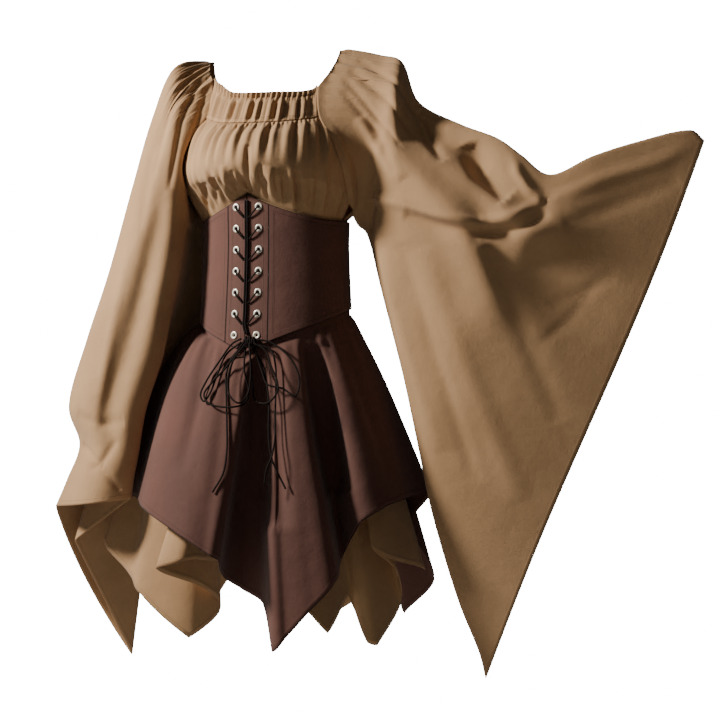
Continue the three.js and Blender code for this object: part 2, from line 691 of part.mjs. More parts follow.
// Bow: loops and tails, from where they leave the knot round their way across and up, standing off
// the gown by a lift. A knot end is its direction round the knot and how far it is turned forward.
const KNOT = { across: -37, z: -457, halfWidth: 14, halfHeight: 8.5, depth: 4.5, lift: 0.7 };
const BOW = [
  { name: 'bow_loop_right_outer', steps: 14, start: [12, 0], end: [-55, 0], route: [[-4, -459, 7], [25, -481, 8],
    [39, -504, 8], [42, -522, 8], [36, -541, 8], [16, -530, 9], [-7, -524, 11], [-17, -503, 10]] },
  { name: 'bow_loop_right_inner', steps: 14, start: [-25, 40], end: [-80, 35], route: [[-12, -471, 12],
    [-2, -496, 12], [8, -520, 14], [8, -535, 14], [-1, -548, 12], [-13, -553, 12], [-28, -547, 12], [-31, -522, 12]] },
  { name: 'bow_loop_left_outer', steps: 12, start: [160, 0], end: [190, 0], route: [[-64, -461, 8], [-84, -488, 8],
    [-104, -520, 8], [-112, -540, 8], [-106, -550, 8], [-97, -538, 8], [-88, -513, 8], [-73, -477, 8]] },
  { name: 'bow_loop_left_large', steps: 16, start: [212, 45], end: [247, 25], route: [[-72, -497, 12],
    [-93, -520, 12], [-106, -539, 12], [-98, -553, 12], [-80, -558, 12], [-58, -558, 12], [-43, -553, 12],
    [-37, -538, 12], [-44, -500, 12]] },
  { name: 'bow_loop_left_inner', steps: 13, start: [240, 62], end: [300, 62], route: [[-62, -488, 16],
    [-69, -520, 16], [-65, -541, 16], [-52, -552, 16], [-39, -541, 16], [-34, -514, 16]] },
  { name: 'bow_tail_left', steps: 11, start: [218, -8], route: [[-64, -482, 4.5], [-72, -505, 4],
    [-71, -545, 4], [-69, -583, 4], [-68, -627, 4], [-73, -659, 4], [-88, -686, 4]] },
  { name: 'bow_tail_right_long', steps: 11, start: [-75, -8], route: [[-16, -494, 4], [-9, -523, 4],
    [-5, -557, 4], [-5, -601, 4], [0, -635, 4], [9, -656, 4], [22, -681, 4]] },
  { name: 'bow_tail_right_short', steps: 11, start: [-35, -8], route: [[-4, -470, 5], [4, -492, 4],
    [5, -560, 4], [5, -604, 6], [0, -635, 12], [-7, -652, 22], [-10, -673, 34]] },
];

function knotCentre() {
  return turned(KNOT.across, gownFront(KNOT.across, KNOT.z) + KNOT.depth + KNOT.lift, KNOT.z);
}

function knot() {
  const geometry = new THREE.SphereGeometry(1, 12, 8);
  geometry.scale(KNOT.halfWidth, KNOT.depth, KNOT.halfHeight);
  const centre = knotCentre();
  geometry.translate(centre.x, centre.y, centre.z);
  return geometry;
}

// Where a cord leaves the knot, just clear of its surface, heading for the next point of its route
function leaveKnot([round, forward], next) {
  const [level, lean] = [round * RAD, forward * RAD];
  const unit = [Math.cos(level) * Math.cos(lean), -Math.sin(lean), Math.sin(level) * Math.cos(lean)];
  const half = [KNOT.halfWidth, KNOT.depth, KNOT.halfHeight];
  const point = knotCentre().add(new THREE.Vector3(...unit.map((value, k) => value * half[k])));
  const normal = new THREE.Vector3(...unit.map((value, k) => value / half[k])).normalize();
  const heading = next.clone().sub(point).normalize();
  const slant = Math.sqrt(1 - Math.min(1, normal.dot(heading) ** 2));
  return point.addScaledVector(normal, CLEAR + LACE.bow / 2 * slant);
}

function bowCord({ start, end, route, steps }) {
  const points = route.map(([across, z, lift]) => turned(across, gownFront(across, z) + lift, z));
  points.unshift(leaveKnot(start, points[0]));
  if (end) points.push(leaveKnot(end, points[points.length - 1]));
  return cordTube(points, LACE.bow, steps);
}

const group = new THREE.Group();

function add(name, geometry, material) {
  const mesh = new THREE.Mesh(geometry, material);
  mesh.name = name;
  group.add(mesh);
}

add('yoke_front', blouseFront([0, 0.12, 0.246], 60, NECK_GATHERS, YOKE_INSET), tan());
add('bodice_front', blouseFront(FRONT_ROWS, 54, SEAM_GATHERS, 0), tan());
add('bodice_back', blouseBack(34), tan());
add('sleeve_left', leftSleeve(), tan());
add('sleeve_right', rightSleeve(), tan());
add('overskirt', skirt(OVERSKIRT_HEM, OVER_INSET, TWILL), brown());
add('underskirt', skirt(UNDERSKIRT_HEM, UNDER_INSET, COTTON), tan());
add('placket_left', placket(1), brown());
add('placket_right', placket(-1), brown());
add('corset_side_left', bodicePanel(PLACKET_HALF_ANGLE, 97, 11, 4), brown());
add('corset_side_right', bodicePanel(-97, -PLACKET_HALF_ANGLE, 11, 4), brown());
add('corset_back', bodicePanel(97, 263, 18, 4), brown());
for (const [label, side] of [['left', 1], ['right', -1]]) {
  for (let row = 0; row < EYELET.rows; row += 1) {
    const { centre, out } = eyeletFrame(side, row);
    const ring = eyelet();
    ring.applyQuaternion(new THREE.Quaternion().setFromUnitVectors(new THREE.Vector3(0, 1, 0), out));
    ring.translate(centre.x, centre.y, centre.z);
    add(`eyelet_${label}_${row + 1}`, ring, nickel());
    if (row < EYELET.rows - 1) add(`lace_${label}_${row + 1}`, laceStrand(side, row), darkCord());
  }
  add(`lace_centre_${label}`, centreCord(side), darkCord());
}
add('bow_knot', knot(), darkCord());
for (const cord of BOW) add(cord.name, bowCord(cord), darkCord());

export default group;
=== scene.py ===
import bpy
import numpy as np
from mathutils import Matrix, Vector


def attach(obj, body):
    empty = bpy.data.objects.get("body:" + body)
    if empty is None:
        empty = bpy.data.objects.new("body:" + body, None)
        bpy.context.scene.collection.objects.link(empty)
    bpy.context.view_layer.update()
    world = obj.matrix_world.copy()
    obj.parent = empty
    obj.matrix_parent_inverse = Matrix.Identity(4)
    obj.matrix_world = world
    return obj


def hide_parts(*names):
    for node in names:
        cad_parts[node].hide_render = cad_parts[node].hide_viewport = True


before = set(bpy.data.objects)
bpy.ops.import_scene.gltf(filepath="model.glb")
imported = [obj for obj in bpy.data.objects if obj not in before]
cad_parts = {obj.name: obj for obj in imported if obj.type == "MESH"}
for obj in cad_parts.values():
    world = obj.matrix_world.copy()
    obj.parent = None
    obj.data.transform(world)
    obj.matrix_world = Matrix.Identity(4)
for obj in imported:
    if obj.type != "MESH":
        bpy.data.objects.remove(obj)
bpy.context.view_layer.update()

MM = 0.001

# Cloth thicknesses and the gaps left between sewn pieces
COTTON = 1.2
TWILL = 1.5
BODICE_WALL = 2.6
SEAM_GAP = 1.1
CLEAR = 0.4

# Sleeves, skirts and cords are laid out across, toward and up, in a frame turned about the upright axis
SHOW_TURN = np.radians(27)
TURN_COS = np.cos(SHOW_TURN)
TURN_SIN = np.sin(SHOW_TURN)


# Arithmetic on arrays
def smoothstep(x, low, high):
    t = np.clip((x - low) / (high - low), 0, 1)
    return t * t * (3 - 2 * t)


def lerp(a, b, f):
    return a + (b - a) * f


def band(x, rise_from, rise_to, fall_from, fall_to):
    return smoothstep(x, rise_from, rise_to) * (1 - smoothstep(x, fall_from, fall_to))


def hump(x, middle, half):
    return np.exp(-(((x - middle) / half) ** 2))


def sine(degrees):
    return np.sin(np.radians(degrees))


def cosine(degrees):
    return np.cos(np.radians(degrees))


def length_of(vectors):
    return np.sqrt((vectors ** 2).sum(axis=-1))


def unit(vectors):
    return vectors / np.maximum(length_of(vectors), 1e-9)[..., None]


def hermite(p1, m1, p2, m2, f):
    """The cubic from p1 to p2 that leaves along m1 and arrives along m2."""
    return (p1 * (2 * f ** 3 - 3 * f ** 2 + 1) + m1 * (f ** 3 - 2 * f ** 2 + f)
            + p2 * (3 * f ** 2 - 2 * f ** 3) + m2 * (f ** 3 - f ** 2))


def spline(places, values, x):
    """Smooth interpolation through rows of values, which may differ from one x to the next."""
    places = np.asarray(places, float)
    values = np.asarray(values, float)
    x = np.clip(np.asarray(x, float), places[0], places[-1])
    last = len(places) - 1
    k = np.clip(np.searchsorted(places, x, side="left") - 1, 0, last - 1)
    before, after = np.maximum(k - 1, 0), np.minimum(k + 2, last)
    if values.ndim == 2:
        p0, p1, p2, p3 = (values[n] for n in (before, k, k + 1, after))
    else:
        flat = np.broadcast_to(values, (len(places), *x.shape, values.shape[-1])).reshape(len(places), -1, 3)
        column = np.arange(flat.shape[1])
        p0, p1, p2, p3 = (flat[n.ravel(), column].reshape(*x.shape, 3) for n in (before, k, k + 1, after))
    span = (places[k + 1] - places[k])[..., None]
    m1 = (p2 - p0) / (places[k + 1] - places[before])[..., None] * span
    m2 = (p3 - p1) / (places[after] - places[k])[..., None] * span
    return hermite(p1, m1, p2, m2, ((x - places[k]) / span[..., 0])[..., None])


def table_at(rows, x):
    rows = np.asarray(rows, float)
    return np.moveaxis(spline(rows[:, 0], rows[:, 1:], x), -1, 0)


def point(x, y, z):
    return np.stack(np.broadcast_arrays(x, y, z), axis=-1).astype(float)


def turned(across, toward, z):
    return point(across * TURN_COS + toward * TURN_SIN, across * TURN_SIN - toward * TURN_COS, z)


def turned_back(p):
    x, y, z = np.moveaxis(p, -1, 0)
    return point(x * TURN_COS + y * TURN_SIN, x * TURN_SIN - y * TURN_COS, z)


# Underbust bodice: its edges and its half widths at each height
SIDE_TOP, V_RISE, V_HALF = -269, 41, 75
SIDE_BOTTOM, V_DROP, V_BOTTOM_HALF = -405, 70, 110

# Columns: height, half width, depth to the front, depth to the back
BODICE_GIRTH = [
    (-480, 130, 98, 94),
    (-440, 129, 96, 92),
    (-380, 126, 92, 87),
    (-310, 123.5, 89, 84),
    (-270, 124, 89.5, 86),
    (-215, 125, 90.5, 88),
]


def wrapped(angle):
    return (angle + 540) % 360 - 180


def off_front(angle):
    return np.abs(wrapped(angle))


def bodice_top(angle):
    return SIDE_TOP + V_RISE * np.maximum(0, 1 - off_front(angle) / V_HALF) ** 2


def bodice_bottom(angle):
    return SIDE_BOTTOM - V_DROP * np.maximum(0, 1 - off_front(angle) / V_BOTTOM_HALF) ** 1.5


def girth_point(angle, z, out):
    """A point at an angle round the waist, moved out from the middle of the bodice's wall."""
    half_width, front, back = table_at(BODICE_GIRTH, z)
    turn = np.radians(angle)
    depth = np.where(np.cos(turn) > 0, front, back)
    return point((half_width + out) * np.sin(turn), -(depth + out) * np.cos(turn), z)


# Blouse: rings from the neckline down, each angle measured from the middle of the front
# Columns: place down the blouse, half width, front depth, back depth, front, side and back heights,
# which the first three rings take from the table below instead
BLOUSE_RINGS = [
    (0, 115, 72, 72),
    (0.12, 119, 85, 79),
    (0.25, 126, 101, 88),
    (0.42, 141, 126, 97, -143, -136, -140),
    (0.58, 149, 138, 101, -176, -182, -182),
    (0.74, 146, 132, 100, -201, -220, -222),
    (0.86, 138, 114, 95, -216, -246, -250),
]
TUCK_START = 0.93
TUCK_DEPTH = 7

# Columns: angle, then the heights of the neckline, the casing's foot and the yoke's seam
NECK_HEIGHTS = [
    (-180, -58, -74, -102), (-140, -54, -76, -106), (-115, -44, -68, -102), (-100, -28, -58, -96),
    (-90, -3, -46, -90), (-65, -14, -50, -92), (-50, -37, -62, -99), (-35, -50, -74, -108),
    (-20, -64, -85, -115), (20, -68, -89, -118), (50, -64, -86, -112), (60, -47, -73, -106),
    (75, -20, -56, -96), (90, 0, -44, -88), (110, -24, -58, -96), (140, -50, -74, -106),
    (180, -58, -74, -102),
]


def blouse_height(angle, front, side, back):
    off = off_front(angle)
    behind = lerp(side, back, sine(np.maximum(off - 90, 0)) ** 0.8)
    ahead = lerp(side, front, np.maximum(cosine(off), 0) ** 0.8)
    return np.where(off > 90, behind, ahead)


def blouse_ring(angle, row, ring):
    down, half_width, front, back, *heights = row
    c = cosine(angle)
    flat = lerp(1.25, 1, min(down / 0.5, 1))
    y = -np.sign(c) * np.where(c > 0, front, back) * np.abs(c) ** flat
    z = blouse_height(angle, *heights) if heights else table_at(NECK_HEIGHTS, wrapped(angle))[ring]
    return point(half_width * sine(angle), y, z)


def blouse_point(angle, down):
    angle, down = np.broadcast_arrays(np.asarray(angle, float), np.asarray(down, float))
    inside = -(BODICE_WALL + COTTON) / 2 - CLEAR
    rings = [blouse_ring(angle, row, ring) for ring, row in enumerate(BLOUSE_RINGS)]
    rings.append(girth_point(angle, bodice_top(angle) + 3, inside))
    rings.append(girth_point(angle, bodice_top(angle) - TUCK_DEPTH, inside))
    places = [row[0] for row in BLOUSE_RINGS] + [TUCK_START, 1]
    return spline(places, np.stack(rings), down)


def gathered(angle, down, count, height, fade):
    """Gathers: the cloth waves in and out beside an elastic or a seam and dies away from it."""
    uneven = 1 + 0.35 * np.sin(angle * 0.31 + 1) + 0.25 * np.sin(angle * 0.83)
    swing = 0.5 * np.sin(angle * 0.057 + down * 3)
    return height * uneven * fade * np.cos(np.radians(count * angle) + swing)


def pushed_out(points, by):
    away = unit(points * np.array([1, 1, 0]))
    return points + away * by[..., None]


# Gathers and folds in a whole turn round the body
NECK_GATHERS, SEAM_GATHERS, BUST_FOLDS, LOOSE_FOLDS = 84, 112, 41, 29
BACK_FOLDS, BACK_LOOSE_FOLDS = 37, 31
YOKE_SEAM = 0.25

# Raglan seams: angle at each place down the blouse, on the wearer's left, right and at the back
RAGLAN_LEFT = [(0, 53), (0.25, 56), (0.5, 66), (0.78, 77), (0.93, 86), (1, 90)]
RAGLAN_RIGHT = [(0, 50), (0.25, 43), (0.5, 60), (0.78, 75), (0.93, 86), (1, 90)]
RAGLAN_BACK = [(0, 127), (0.25, 124), (0.5, 114), (0.78, 103), (0.93, 94), (1, 90)]
ARMPIT = 0.86
BODY_RADIUS = 120
HALF_SEAM = np.degrees(SEAM_GAP / 2 / BODY_RADIUS)

# How far the body's cloth runs on under the sleeves' seams, in degrees round the body
SEAM_LAP = 2.0


def seam_angle(table, down):
    return table_at(table, down)[0]


def grid_of(columns, rows):
    """Shares across and down of a grid's points, as two arrays of rows by columns."""
    return np.meshgrid(np.linspace(0, 1, columns + 1), np.linspace(0, 1, rows + 1))


def blouse_front(down_from, down_to, columns, rows, pattern):
    across, share = grid_of(columns, rows)
    down = lerp(down_from, down_to, share)
    start = -seam_angle(RAGLAN_RIGHT, down) - SEAM_LAP
    end = seam_angle(RAGLAN_LEFT, down) + SEAM_LAP
    angle = lerp(start, end, across)
    calm = band(across, 0, 0.05, 0.95, 1)
    return pushed_out(blouse_point(angle, down), lerp(0.25, 1, calm) * pattern(angle, down))


def yoke_pattern(angle, down):
    """Narrow pleats of the elastic casing, which run on as softer ones to the yoke's seam."""
    tight = gathered(angle, 0, NECK_GATHERS, 1.9, 1) + 0.8 * cosine(angle * 171 + 40)
    soft = gathered(angle, down, NECK_GATHERS / 2.1, 2.6, 1) + 1.2 * sine(angle * 61)
    casing = 1 - smoothstep(down, 0.035, 0.1)
    seam = smoothstep(down, 0.2, YOKE_SEAM)
    pinch = 1.8 * hump(down, 0.052, 0.014)
    return tight * lerp(casing, 1, 0.2) + soft * smoothstep(down, 0.05, 0.12) * (1 - 0.8 * seam) - pinch


def front_pattern(angle, down):
    """Tight pleats below the yoke, long folds over the bust and loose ones above the bodice."""
    neck = 1 - smoothstep(down, 0.26, 0.36)
    bust = band(down, YOKE_SEAM, 0.31, 0.34, 0.7)
    hem = band(down, 0.62, 0.86, 0.88, TUCK_START)
    drift = angle + 5 * sine(angle * 1.7) * (down - YOKE_SEAM)
    tucked = 3.2 * (1 - smoothstep(down, YOKE_SEAM, 0.27))
    tight = gathered(angle, YOKE_SEAM, SEAM_GATHERS, 1.3, neck) * smoothstep(down, 0.245, 0.26) - tucked
    long_folds = gathered(drift, down, BUST_FOLDS, 3.2, bust) + 1.8 * bust * sine(drift * 23 + 50)
    loose = gathered(drift, down, LOOSE_FOLDS, 2.6, hem) + 1.6 * hem * cosine(drift * 47)
    centre = 9 * np.exp(-((angle - 2) ** 2) / 18) * hem
    return tight + long_folds + loose - centre


def blouse_back(columns, rows):
    across, down = grid_of(columns, rows)
    left = seam_angle(RAGLAN_BACK, down) - SEAM_LAP
    angle = lerp(left, 360 - left, across)
    calm = band(across, 0, 0.06, 0.94, 1)
    neck = 1 - smoothstep(down, 0.03, 0.42)
    low = band(down, 0.6, 0.86, 0.88, TUCK_START)
    tight = gathered(angle, down, NECK_GATHERS, 1.9, neck) - 2 * hump(down, 0.06, 0.015)
    soft = gathered(angle, down, BACK_FOLDS, 2.4, band(down, 0.05, 0.2, 0.3, 0.75))
    loose = gathered(angle, down, BACK_LOOSE_FOLDS, 2.4, low)
    return pushed_out(blouse_point(angle, down), calm * (tight + soft + loose))


# Where a sleeve is sewn on: from the top of the shoulder round the front to the armpit and back
NECK_SHARE = 0.24


def armhole(side, around):
    front = around <= 0.5
    half = np.where(front, around, 1 - around) * 2
    down = ARMPIT * np.clip((half - NECK_SHARE) / (1 - NECK_SHARE), 0, 1) ** 0.85
    ahead = seam_angle(RAGLAN_LEFT if side > 0 else RAGLAN_RIGHT, down) + HALF_SEAM
    seam = np.where(front, ahead, seam_angle(RAGLAN_BACK, down) - HALF_SEAM)
    angle = np.where(half < NECK_SHARE, lerp(90, seam, half / NECK_SHARE), seam)
    return blouse_point(side * angle, down)


# Spread sleeve: the top fold and the underarm fold, from the shoulder to the corners of its edge
# Columns: place, top across, toward, height, underarm across, toward, height, half depth
LEFT_SLEEVE = [
    (0.09, 166, 60, -11, 130, 44, -272, 40),
    (0.17, 201, 75, -23, 143, 46, -284, 47),
    (0.25, 225, 85, -84, 152, 54, -308, 50),
    (0.36, 288, 115, -123, 166, 68, -369, 48),
    (0.46, 343, 150, -149, 184, 75, -440, 42),
    (0.55, 378, 165, -176, 203, 85, -517, 36),
    (0.65, 421, 175, -207, 224, 100, -618, 30),
    (0.76, 484, 185, -180, 247, 110, -728, 24),
    (0.87, 554, 190, -158, 285, 120, -855, 20),
    (0.97, 630, 195, -142, 318, 128, -938, 17),
    (1, 650, 196, -158, 327, 130, -975, 16),
]

# Folds of the spread sleeve's front: place, share of the way down, height, half width in each sense
LEFT_FOLDS = [
    (0.16, 0.22, 14, 0.1, 0.2),
    (0.27, 0.12, -16, 0.05, 0.16),
    (0.45, 0.16, -26, 0.14, 0.09),
    (0.6, 0.2, 22, 0.22, 0.07),
    (0.5, 0.42, 16, 0.25, 0.09),
    (0.78, 0.34, -14, 0.16, 0.1),
]
CUFF_BOW = 5


def left_sleeve_row(row, around):
    place, ta, tt, tz, ba, bt, bz, depth = row
    front = around <= 0.5
    down = np.where(front, around, 1 - around) * 2
    arch = np.maximum(np.sin(np.pi * down), 0)
    bulge = depth * (arch ** 0.7 + 0.12 * arch)
    folds = sum(high * hump(place, at, far) * hump(down, low, wide)
                for at, low, high, far, wide in LEFT_FOLDS)
    toward = lerp(tt, bt, down) + np.where(front, bulge + folds, -bulge)
    bow = CUFF_BOW * np.sin(2 * np.pi * down) * smoothstep(place, 0.8, 1)
    return point(lerp(ta, ba, down) + bow, toward, lerp(tz, bz, down))


# Hanging sleeve: each ring runs from its outer edge over the front to the edge beside the skirt,
# back through a hollow that clears the skirt, round the back corner and out again
# Columns: place, then outer, front, hollow and back corners, each across, toward and height
RIGHT_SLEEVE = [
    (0.09, -162, -6, -20, -138, 0, -262, -130, -40, -262, -118, -80, -262),
    (0.18, -198, -12, -95, -143, 12, -280, -134, -46, -284, -109, -100, -286),
    (0.3, -231, -18, -205, -150, 18, -330, -142, -50, -336, -104, -112, -342),
    (0.43, -270, -20, -345, -163, 20, -400, -164, -50, -412, -108, -120, -424),
    (0.56, -306, -22, -454, -178, 24, -480, -212, -50, -500, -140, -128, -524),
    (0.7, -335, -24, -560, -205, 26, -565, -272, -50, -600, -190, -132, -640),
    (0.8, -318, -26, -622, -216, 26, -630, -298, -50, -680, -210, -136, -745),
    (0.9, -338, -28, -678, -224, 24, -672, -316, -50, -730, -228, -142, -850),
    (1, -357, -30, -722, -229, 22, -706, -330, -50, -780, -246, -150, -985),
]
RIGHT_CORNERS = [0, 0.42, 0.53, 0.64, 1]
RIGHT_FRONT_DEPTH = 40
RIGHT_BACK_DEPTH = 34
RIGHT_VALLEY = 15
RIGHT_HEM_SWELL = 20


def right_sleeve_row(row, around):
    place = row[0]
    corners = np.array(row[1:], float).reshape(4, 3)
    k = np.clip(np.searchsorted(RIGHT_CORNERS, around, side="left") - 1, 0, 3)
    ends = np.array(RIGHT_CORNERS)
    f = (around - ends[k]) / (ends[k + 1] - ends[k])
    across, toward, z = np.moveaxis(lerp(corners[k], corners[(k + 1) % 4], f[..., None]), -1, 0)
    arch = np.maximum(np.sin(np.pi * f), 0) ** 0.75
    along = band(place, 0.12, 0.4, 0.66, 0.92)
    valley = RIGHT_VALLEY * hump(f, 0.56, 0.17) * along
    toward = toward + np.where(k == 0, RIGHT_FRONT_DEPTH * arch - valley, 0)
    toward = toward - np.where(k == 3, RIGHT_BACK_DEPTH * arch, 0)
    across = across - np.where(k == 3, RIGHT_HEM_SWELL * arch * smoothstep(place, 0.7, 1), 0)
    return point(across, toward, z)


SEAM_LIFT = 1.4
BODY_CLEARANCE = 7
SHOULDER_GATHERS, SHOULDER_PLEATS = 34, 83


def down_at(angle, z):
    """Place down the blouse at which it reaches a height, by halving."""
    high, low = np.zeros_like(z), np.full_like(z, TUCK_START)
    for _ in range(12):
        middle = (high + low) / 2
        above = blouse_point(angle, middle)[..., 2] > z
        high, low = np.where(above, middle, high), np.where(above, low, middle)
    return (high + low) / 2


def clear_of_body(points, clearance):
    """Moves points that would dip into the blouse or the bodice out to a clearance from them."""
    x, y, z = (points[..., n].copy() for n in range(3))
    girths = [row[:4] for row in BLOUSE_RINGS]
    half_width, front, back = table_at(girths, down_at(np.zeros_like(z), z))
    angle = np.degrees(np.arctan2(x / half_width, -y / np.where(y < 0, front, back)))
    above = z > blouse_point(angle, 0)[..., 2] - 0.5
    bodice = girth_point(angle, z, BODICE_WALL / 2)
    blouse = blouse_point(angle, down_at(angle, z))
    wall = np.where((z < bodice_top(angle))[..., None], bodice, blouse)
    reach = np.hypot(x, y)
    least = np.hypot(wall[..., 0], wall[..., 1]) + clearance
    scale = np.where(above | (reach >= least), 1, least / np.maximum(reach, 1))
    return point(x * scale, y * scale, z)


def sleeve_grid(side, row_of, rows, around, place):
    first = turned_back(armhole(side, around))
    table = np.stack([first, *(row_of(row, around) for row in rows)])
    across, toward, z = np.moveaxis(spline([0, *(row[0] for row in rows)], table, place), -1, 0)
    shoulder = hump(around, 0, 0.17) + hump(around, 1, 0.17)
    fade = (1 - smoothstep(place, 0.02, 0.2)) * shoulder * smoothstep(place, 0, 0.02)
    turn = around * 2 * np.pi
    ripple = np.cos(turn * SHOULDER_GATHERS) + 0.5 * np.cos(turn * SHOULDER_PLEATS)
    points = turned(across, toward, z + 3 * fade * ripple)
    return clear_of_body(points, lerp(SEAM_LIFT, BODY_CLEARANCE, smoothstep(place, 0, 0.03)))


# Skirts: rulings run from the waist to the hem, one row for each turn of the hem
# Columns: angle at the waist, hem across, hem toward, hem height
OVERSKIRT_HEM = [
    (-82, -272, -64, -702), (-71, -236, -24, -704), (-61, -219, 22, -706), (-47, -196, 118, -716),
    (-31, -140, 186, -748), (-12, -100, 204, -772), (4, -78, 196, -786), (7.5, -74, 136, -818),
    (9.5, -46, 104, -842), (11.5, -14, 124, -859), (14, 4, 204, -922), (19, 26, 210, -898),
    (27, 60, 210, -860), (36, 99, 192, -817), (45, 106, 96, -796), (55, 136, 158, -732),
    (68, 176, 148, -708), (84, 214, 104, -697), (104, 246, 32, -695), (113, 216, -22, -752),
    (119, 256, -70, -846), (123, 208, -104, -906), (129, 196, -160, -850), (136, 134, -122, -806),
    (144, 152, -206, -760), (153, 110, -228, -742), (163, 62, -150, -772), (172, 46, -238, -830),
    (180, 6, -246, -900), (190, -30, -236, -850), (200, -46, -152, -800), (211, -92, -228, -762),
    (222, -134, -208, -742), (233, -128, -128, -770), (243, -176, -176, -826), (251, -194, -164, -880),
    (259, -194, -124, -810), (268, -186, -76, -750),
]
UNDERSKIRT_HEM = [
    (-82, -282, -62, -774), (-71, -236, -6, -830), (-60, -213, 34, -856), (-47, -134, 62, -922),
    (-38, -86, 30, -880), (-28, -112, 80, -840), (-19, -176, 142, -805), (-9, -146, 172, -793),
    (0, -116, 156, -788), (5, -80, 88, -800), (9, -44, 62, -815), (13, 2, 106, -838),
    (19, 44, 156, -858), (29, 86, 148, -902), (40, 116, 66, -856), (52, 145, 58, -929),
    (56, 161, 54, -935), (64, 200, 10, -872), (70, 190, 74, -812), (75, 152, 122, -772),
    (84, 180, 106, -792), (96, 238, 22, -819), (108, 190, -30, -800), (118, 190, -62, -780),
    (127, 146, -90, -786), (135, 112, -94, -810), (143, 134, -178, -884), (151, 96, -202, -915),
    (161, 44, -118, -850), (172, 28, -178, -800), (184, -10, -184, -780), (196, -42, -122, -790),
    (208, -90, -196, -860), (219, -118, -174, -912), (231, -108, -94, -840), (242, -150, -136, -790),
    (251, -164, -124, -772), (261, -150, -74, -768), (269, -176, -66, -770),
]
SKIRT_GAP = 1.2
OVER_INSET = -(BODICE_WALL + TWILL) / 2 - SKIRT_GAP
UNDER_INSET = OVER_INSET - (TWILL + COTTON) / 2 - 2 * CLEAR
SKIRT_TUCK = 10
SKIRT_CALM = 9
# Share of a skirt's rows that the bodice covers
TUCKED = 0.02


def hip_round(angle):
    return 0.06 + 0.15 * hump(angle, -66, 26)


def hem_at(table, angle):
    """The hem's place: it turns softly from row to row, but its height has corners."""
    first, second, last = table[0], table[1], table[-1]
    whole = [(last[0] - 360, *last[1:]), *table, (first[0] + 360, *first[1:]), (second[0] + 360, *second[1:])]
    across, toward, height = table_at(whole, angle)
    cornered = np.interp(angle, [row[0] for row in whole], [row[3] for row in whole])
    return across, toward, lerp(height, cornered, 0.8)


def skirt_points(table, angle, down, inset):
    across, toward, height = hem_at(table, angle)
    tuck = girth_point(angle, bodice_bottom(angle) + SKIRT_TUCK, inset)
    top = girth_point(angle, bodice_bottom(angle) - SKIRT_CALM, inset)
    hem = turned(across, toward, height)
    f = np.clip((down - TUCKED) / (1 - TUCKED), 0, 1)
    spread = f + hip_round(angle) * np.abs(np.sin(np.pi * f ** 0.56))
    way = np.stack([spread, spread, f], axis=-1)
    covered = lerp(tuck, top, down[..., None] / TUCKED)
    return np.where((down < TUCKED)[..., None], covered, lerp(top, hem, way))


def skirt_grid(table, inset, per_row, rows):
    """Columns are shared out evenly between the rows of the hem's table, and the first one is repeated."""
    angles = np.array([row[0] for row in table] + [table[0][0] + 360])
    step = np.linspace(0, len(table), per_row * len(table) + 1)
    angle = np.interp(step, np.arange(len(angles)), angles)
    down = np.concatenate([[0, 0.6 * TUCKED], lerp(TUCKED, 1, np.linspace(0, 1, rows - 1) ** 1.1)])
    angle, down = np.meshgrid(angle, down)
    return skirt_points(table, angle, down, inset), angle, down


# Creases laid on the sleeves, the bust and the skirts' front: height, half width, then points
# across and up
LEFT_FRONT_CREASES = [
    (9, 9, [(155, -234), (197, -247), (258, -267), (311, -281), (364, -272), (408, -249)]),
    (-8, 10, [(203, -263), (258, -286), (311, -299), (367, -291), (416, -264)]),
    (8, 8, [(368, -166), (374, -204), (389, -230), (411, -248)]),
    (-16, 16, [(300, -156), (319, -202), (356, -242)]),
    (7, 10, [(134, -111), (166, -159), (200, -210)]),
    (-4, 5, [(111, -48), (158, -109), (197, -160)]),
    (-4, 6, [(108, -67), (162, -136), (190, -200)]),
    (-4, 6, [(119, -33), (173, -82), (220, -145)]),
    (-3, 5, [(131, -17), (189, -59), (235, -123)]),
    (-8, 8, [(212, -30), (223, -88), (237, -143), (261, -182)]),
    (5, 14, [(166, -299), (197, -440), (258, -625)]),
    (-4, 12, [(197, -308), (250, -486), (311, -671)]),
    (4, 18, [(227, -316), (304, -517), (379, -700)]),
    (-3, 16, [(319, -318), (379, -441), (438, -577)]),
    (5, 12, [(416, -251), (496, -215), (583, -187), (634, -159)]),
    (-3, 14, [(438, -282), (525, -253), (612, -218)]),
    (-1.5, 10, [(420, -402), (470, -384), (520, -352)]),
    (-1.5, 9, [(400, -468), (450, -425), (490, -372)]),
    (-5, 6, [(155, -237), (147, -287), (153, -334)]),
]
LEFT_BACK_CREASES = [
    (-5, 8, [(150, -90), (196, -150), (236, -232)]),
    (-4, 7, [(160, -50), (224, -110), (262, -170)]),
    (6, 14, [(170, -240), (262, -300), (360, -298), (440, -240)]),
    (-6, 14, [(180, -290), (268, -352), (380, -350), (470, -290)]),
    (4, 18, [(200, -360), (252, -520), (300, -700)]),
    (-4, 16, [(262, -400), (330, -560), (392, -700)]),
    (-3, 12, [(470, -262), (560, -240), (620, -214)]),
]
RIGHT_FRONT_CREASES = [
    (-4, 5, [(-119, -34), (-148, -106), (-167, -217)]),
    (-4, 5, [(-107, -50), (-126, -121), (-135, -217)]),
    (-3, 6, [(-135, -26), (-170, -98), (-196, -201)]),
    (-3, 8, [(-154, -50), (-199, -169), (-215, -280)]),
    (-4, 5, [(-310, -620), (-277, -653)]),
    (-4, 5, [(-277, -653), (-243, -693)]),
    (-3, 6, [(-297, -661), (-277, -653), (-250, -613)]),
    (-3, 8, [(-318, -574), (-278, -590), (-238, -582)]),
    (3, 9, [(-234, -312), (-262, -455), (-286, -597)]),
]
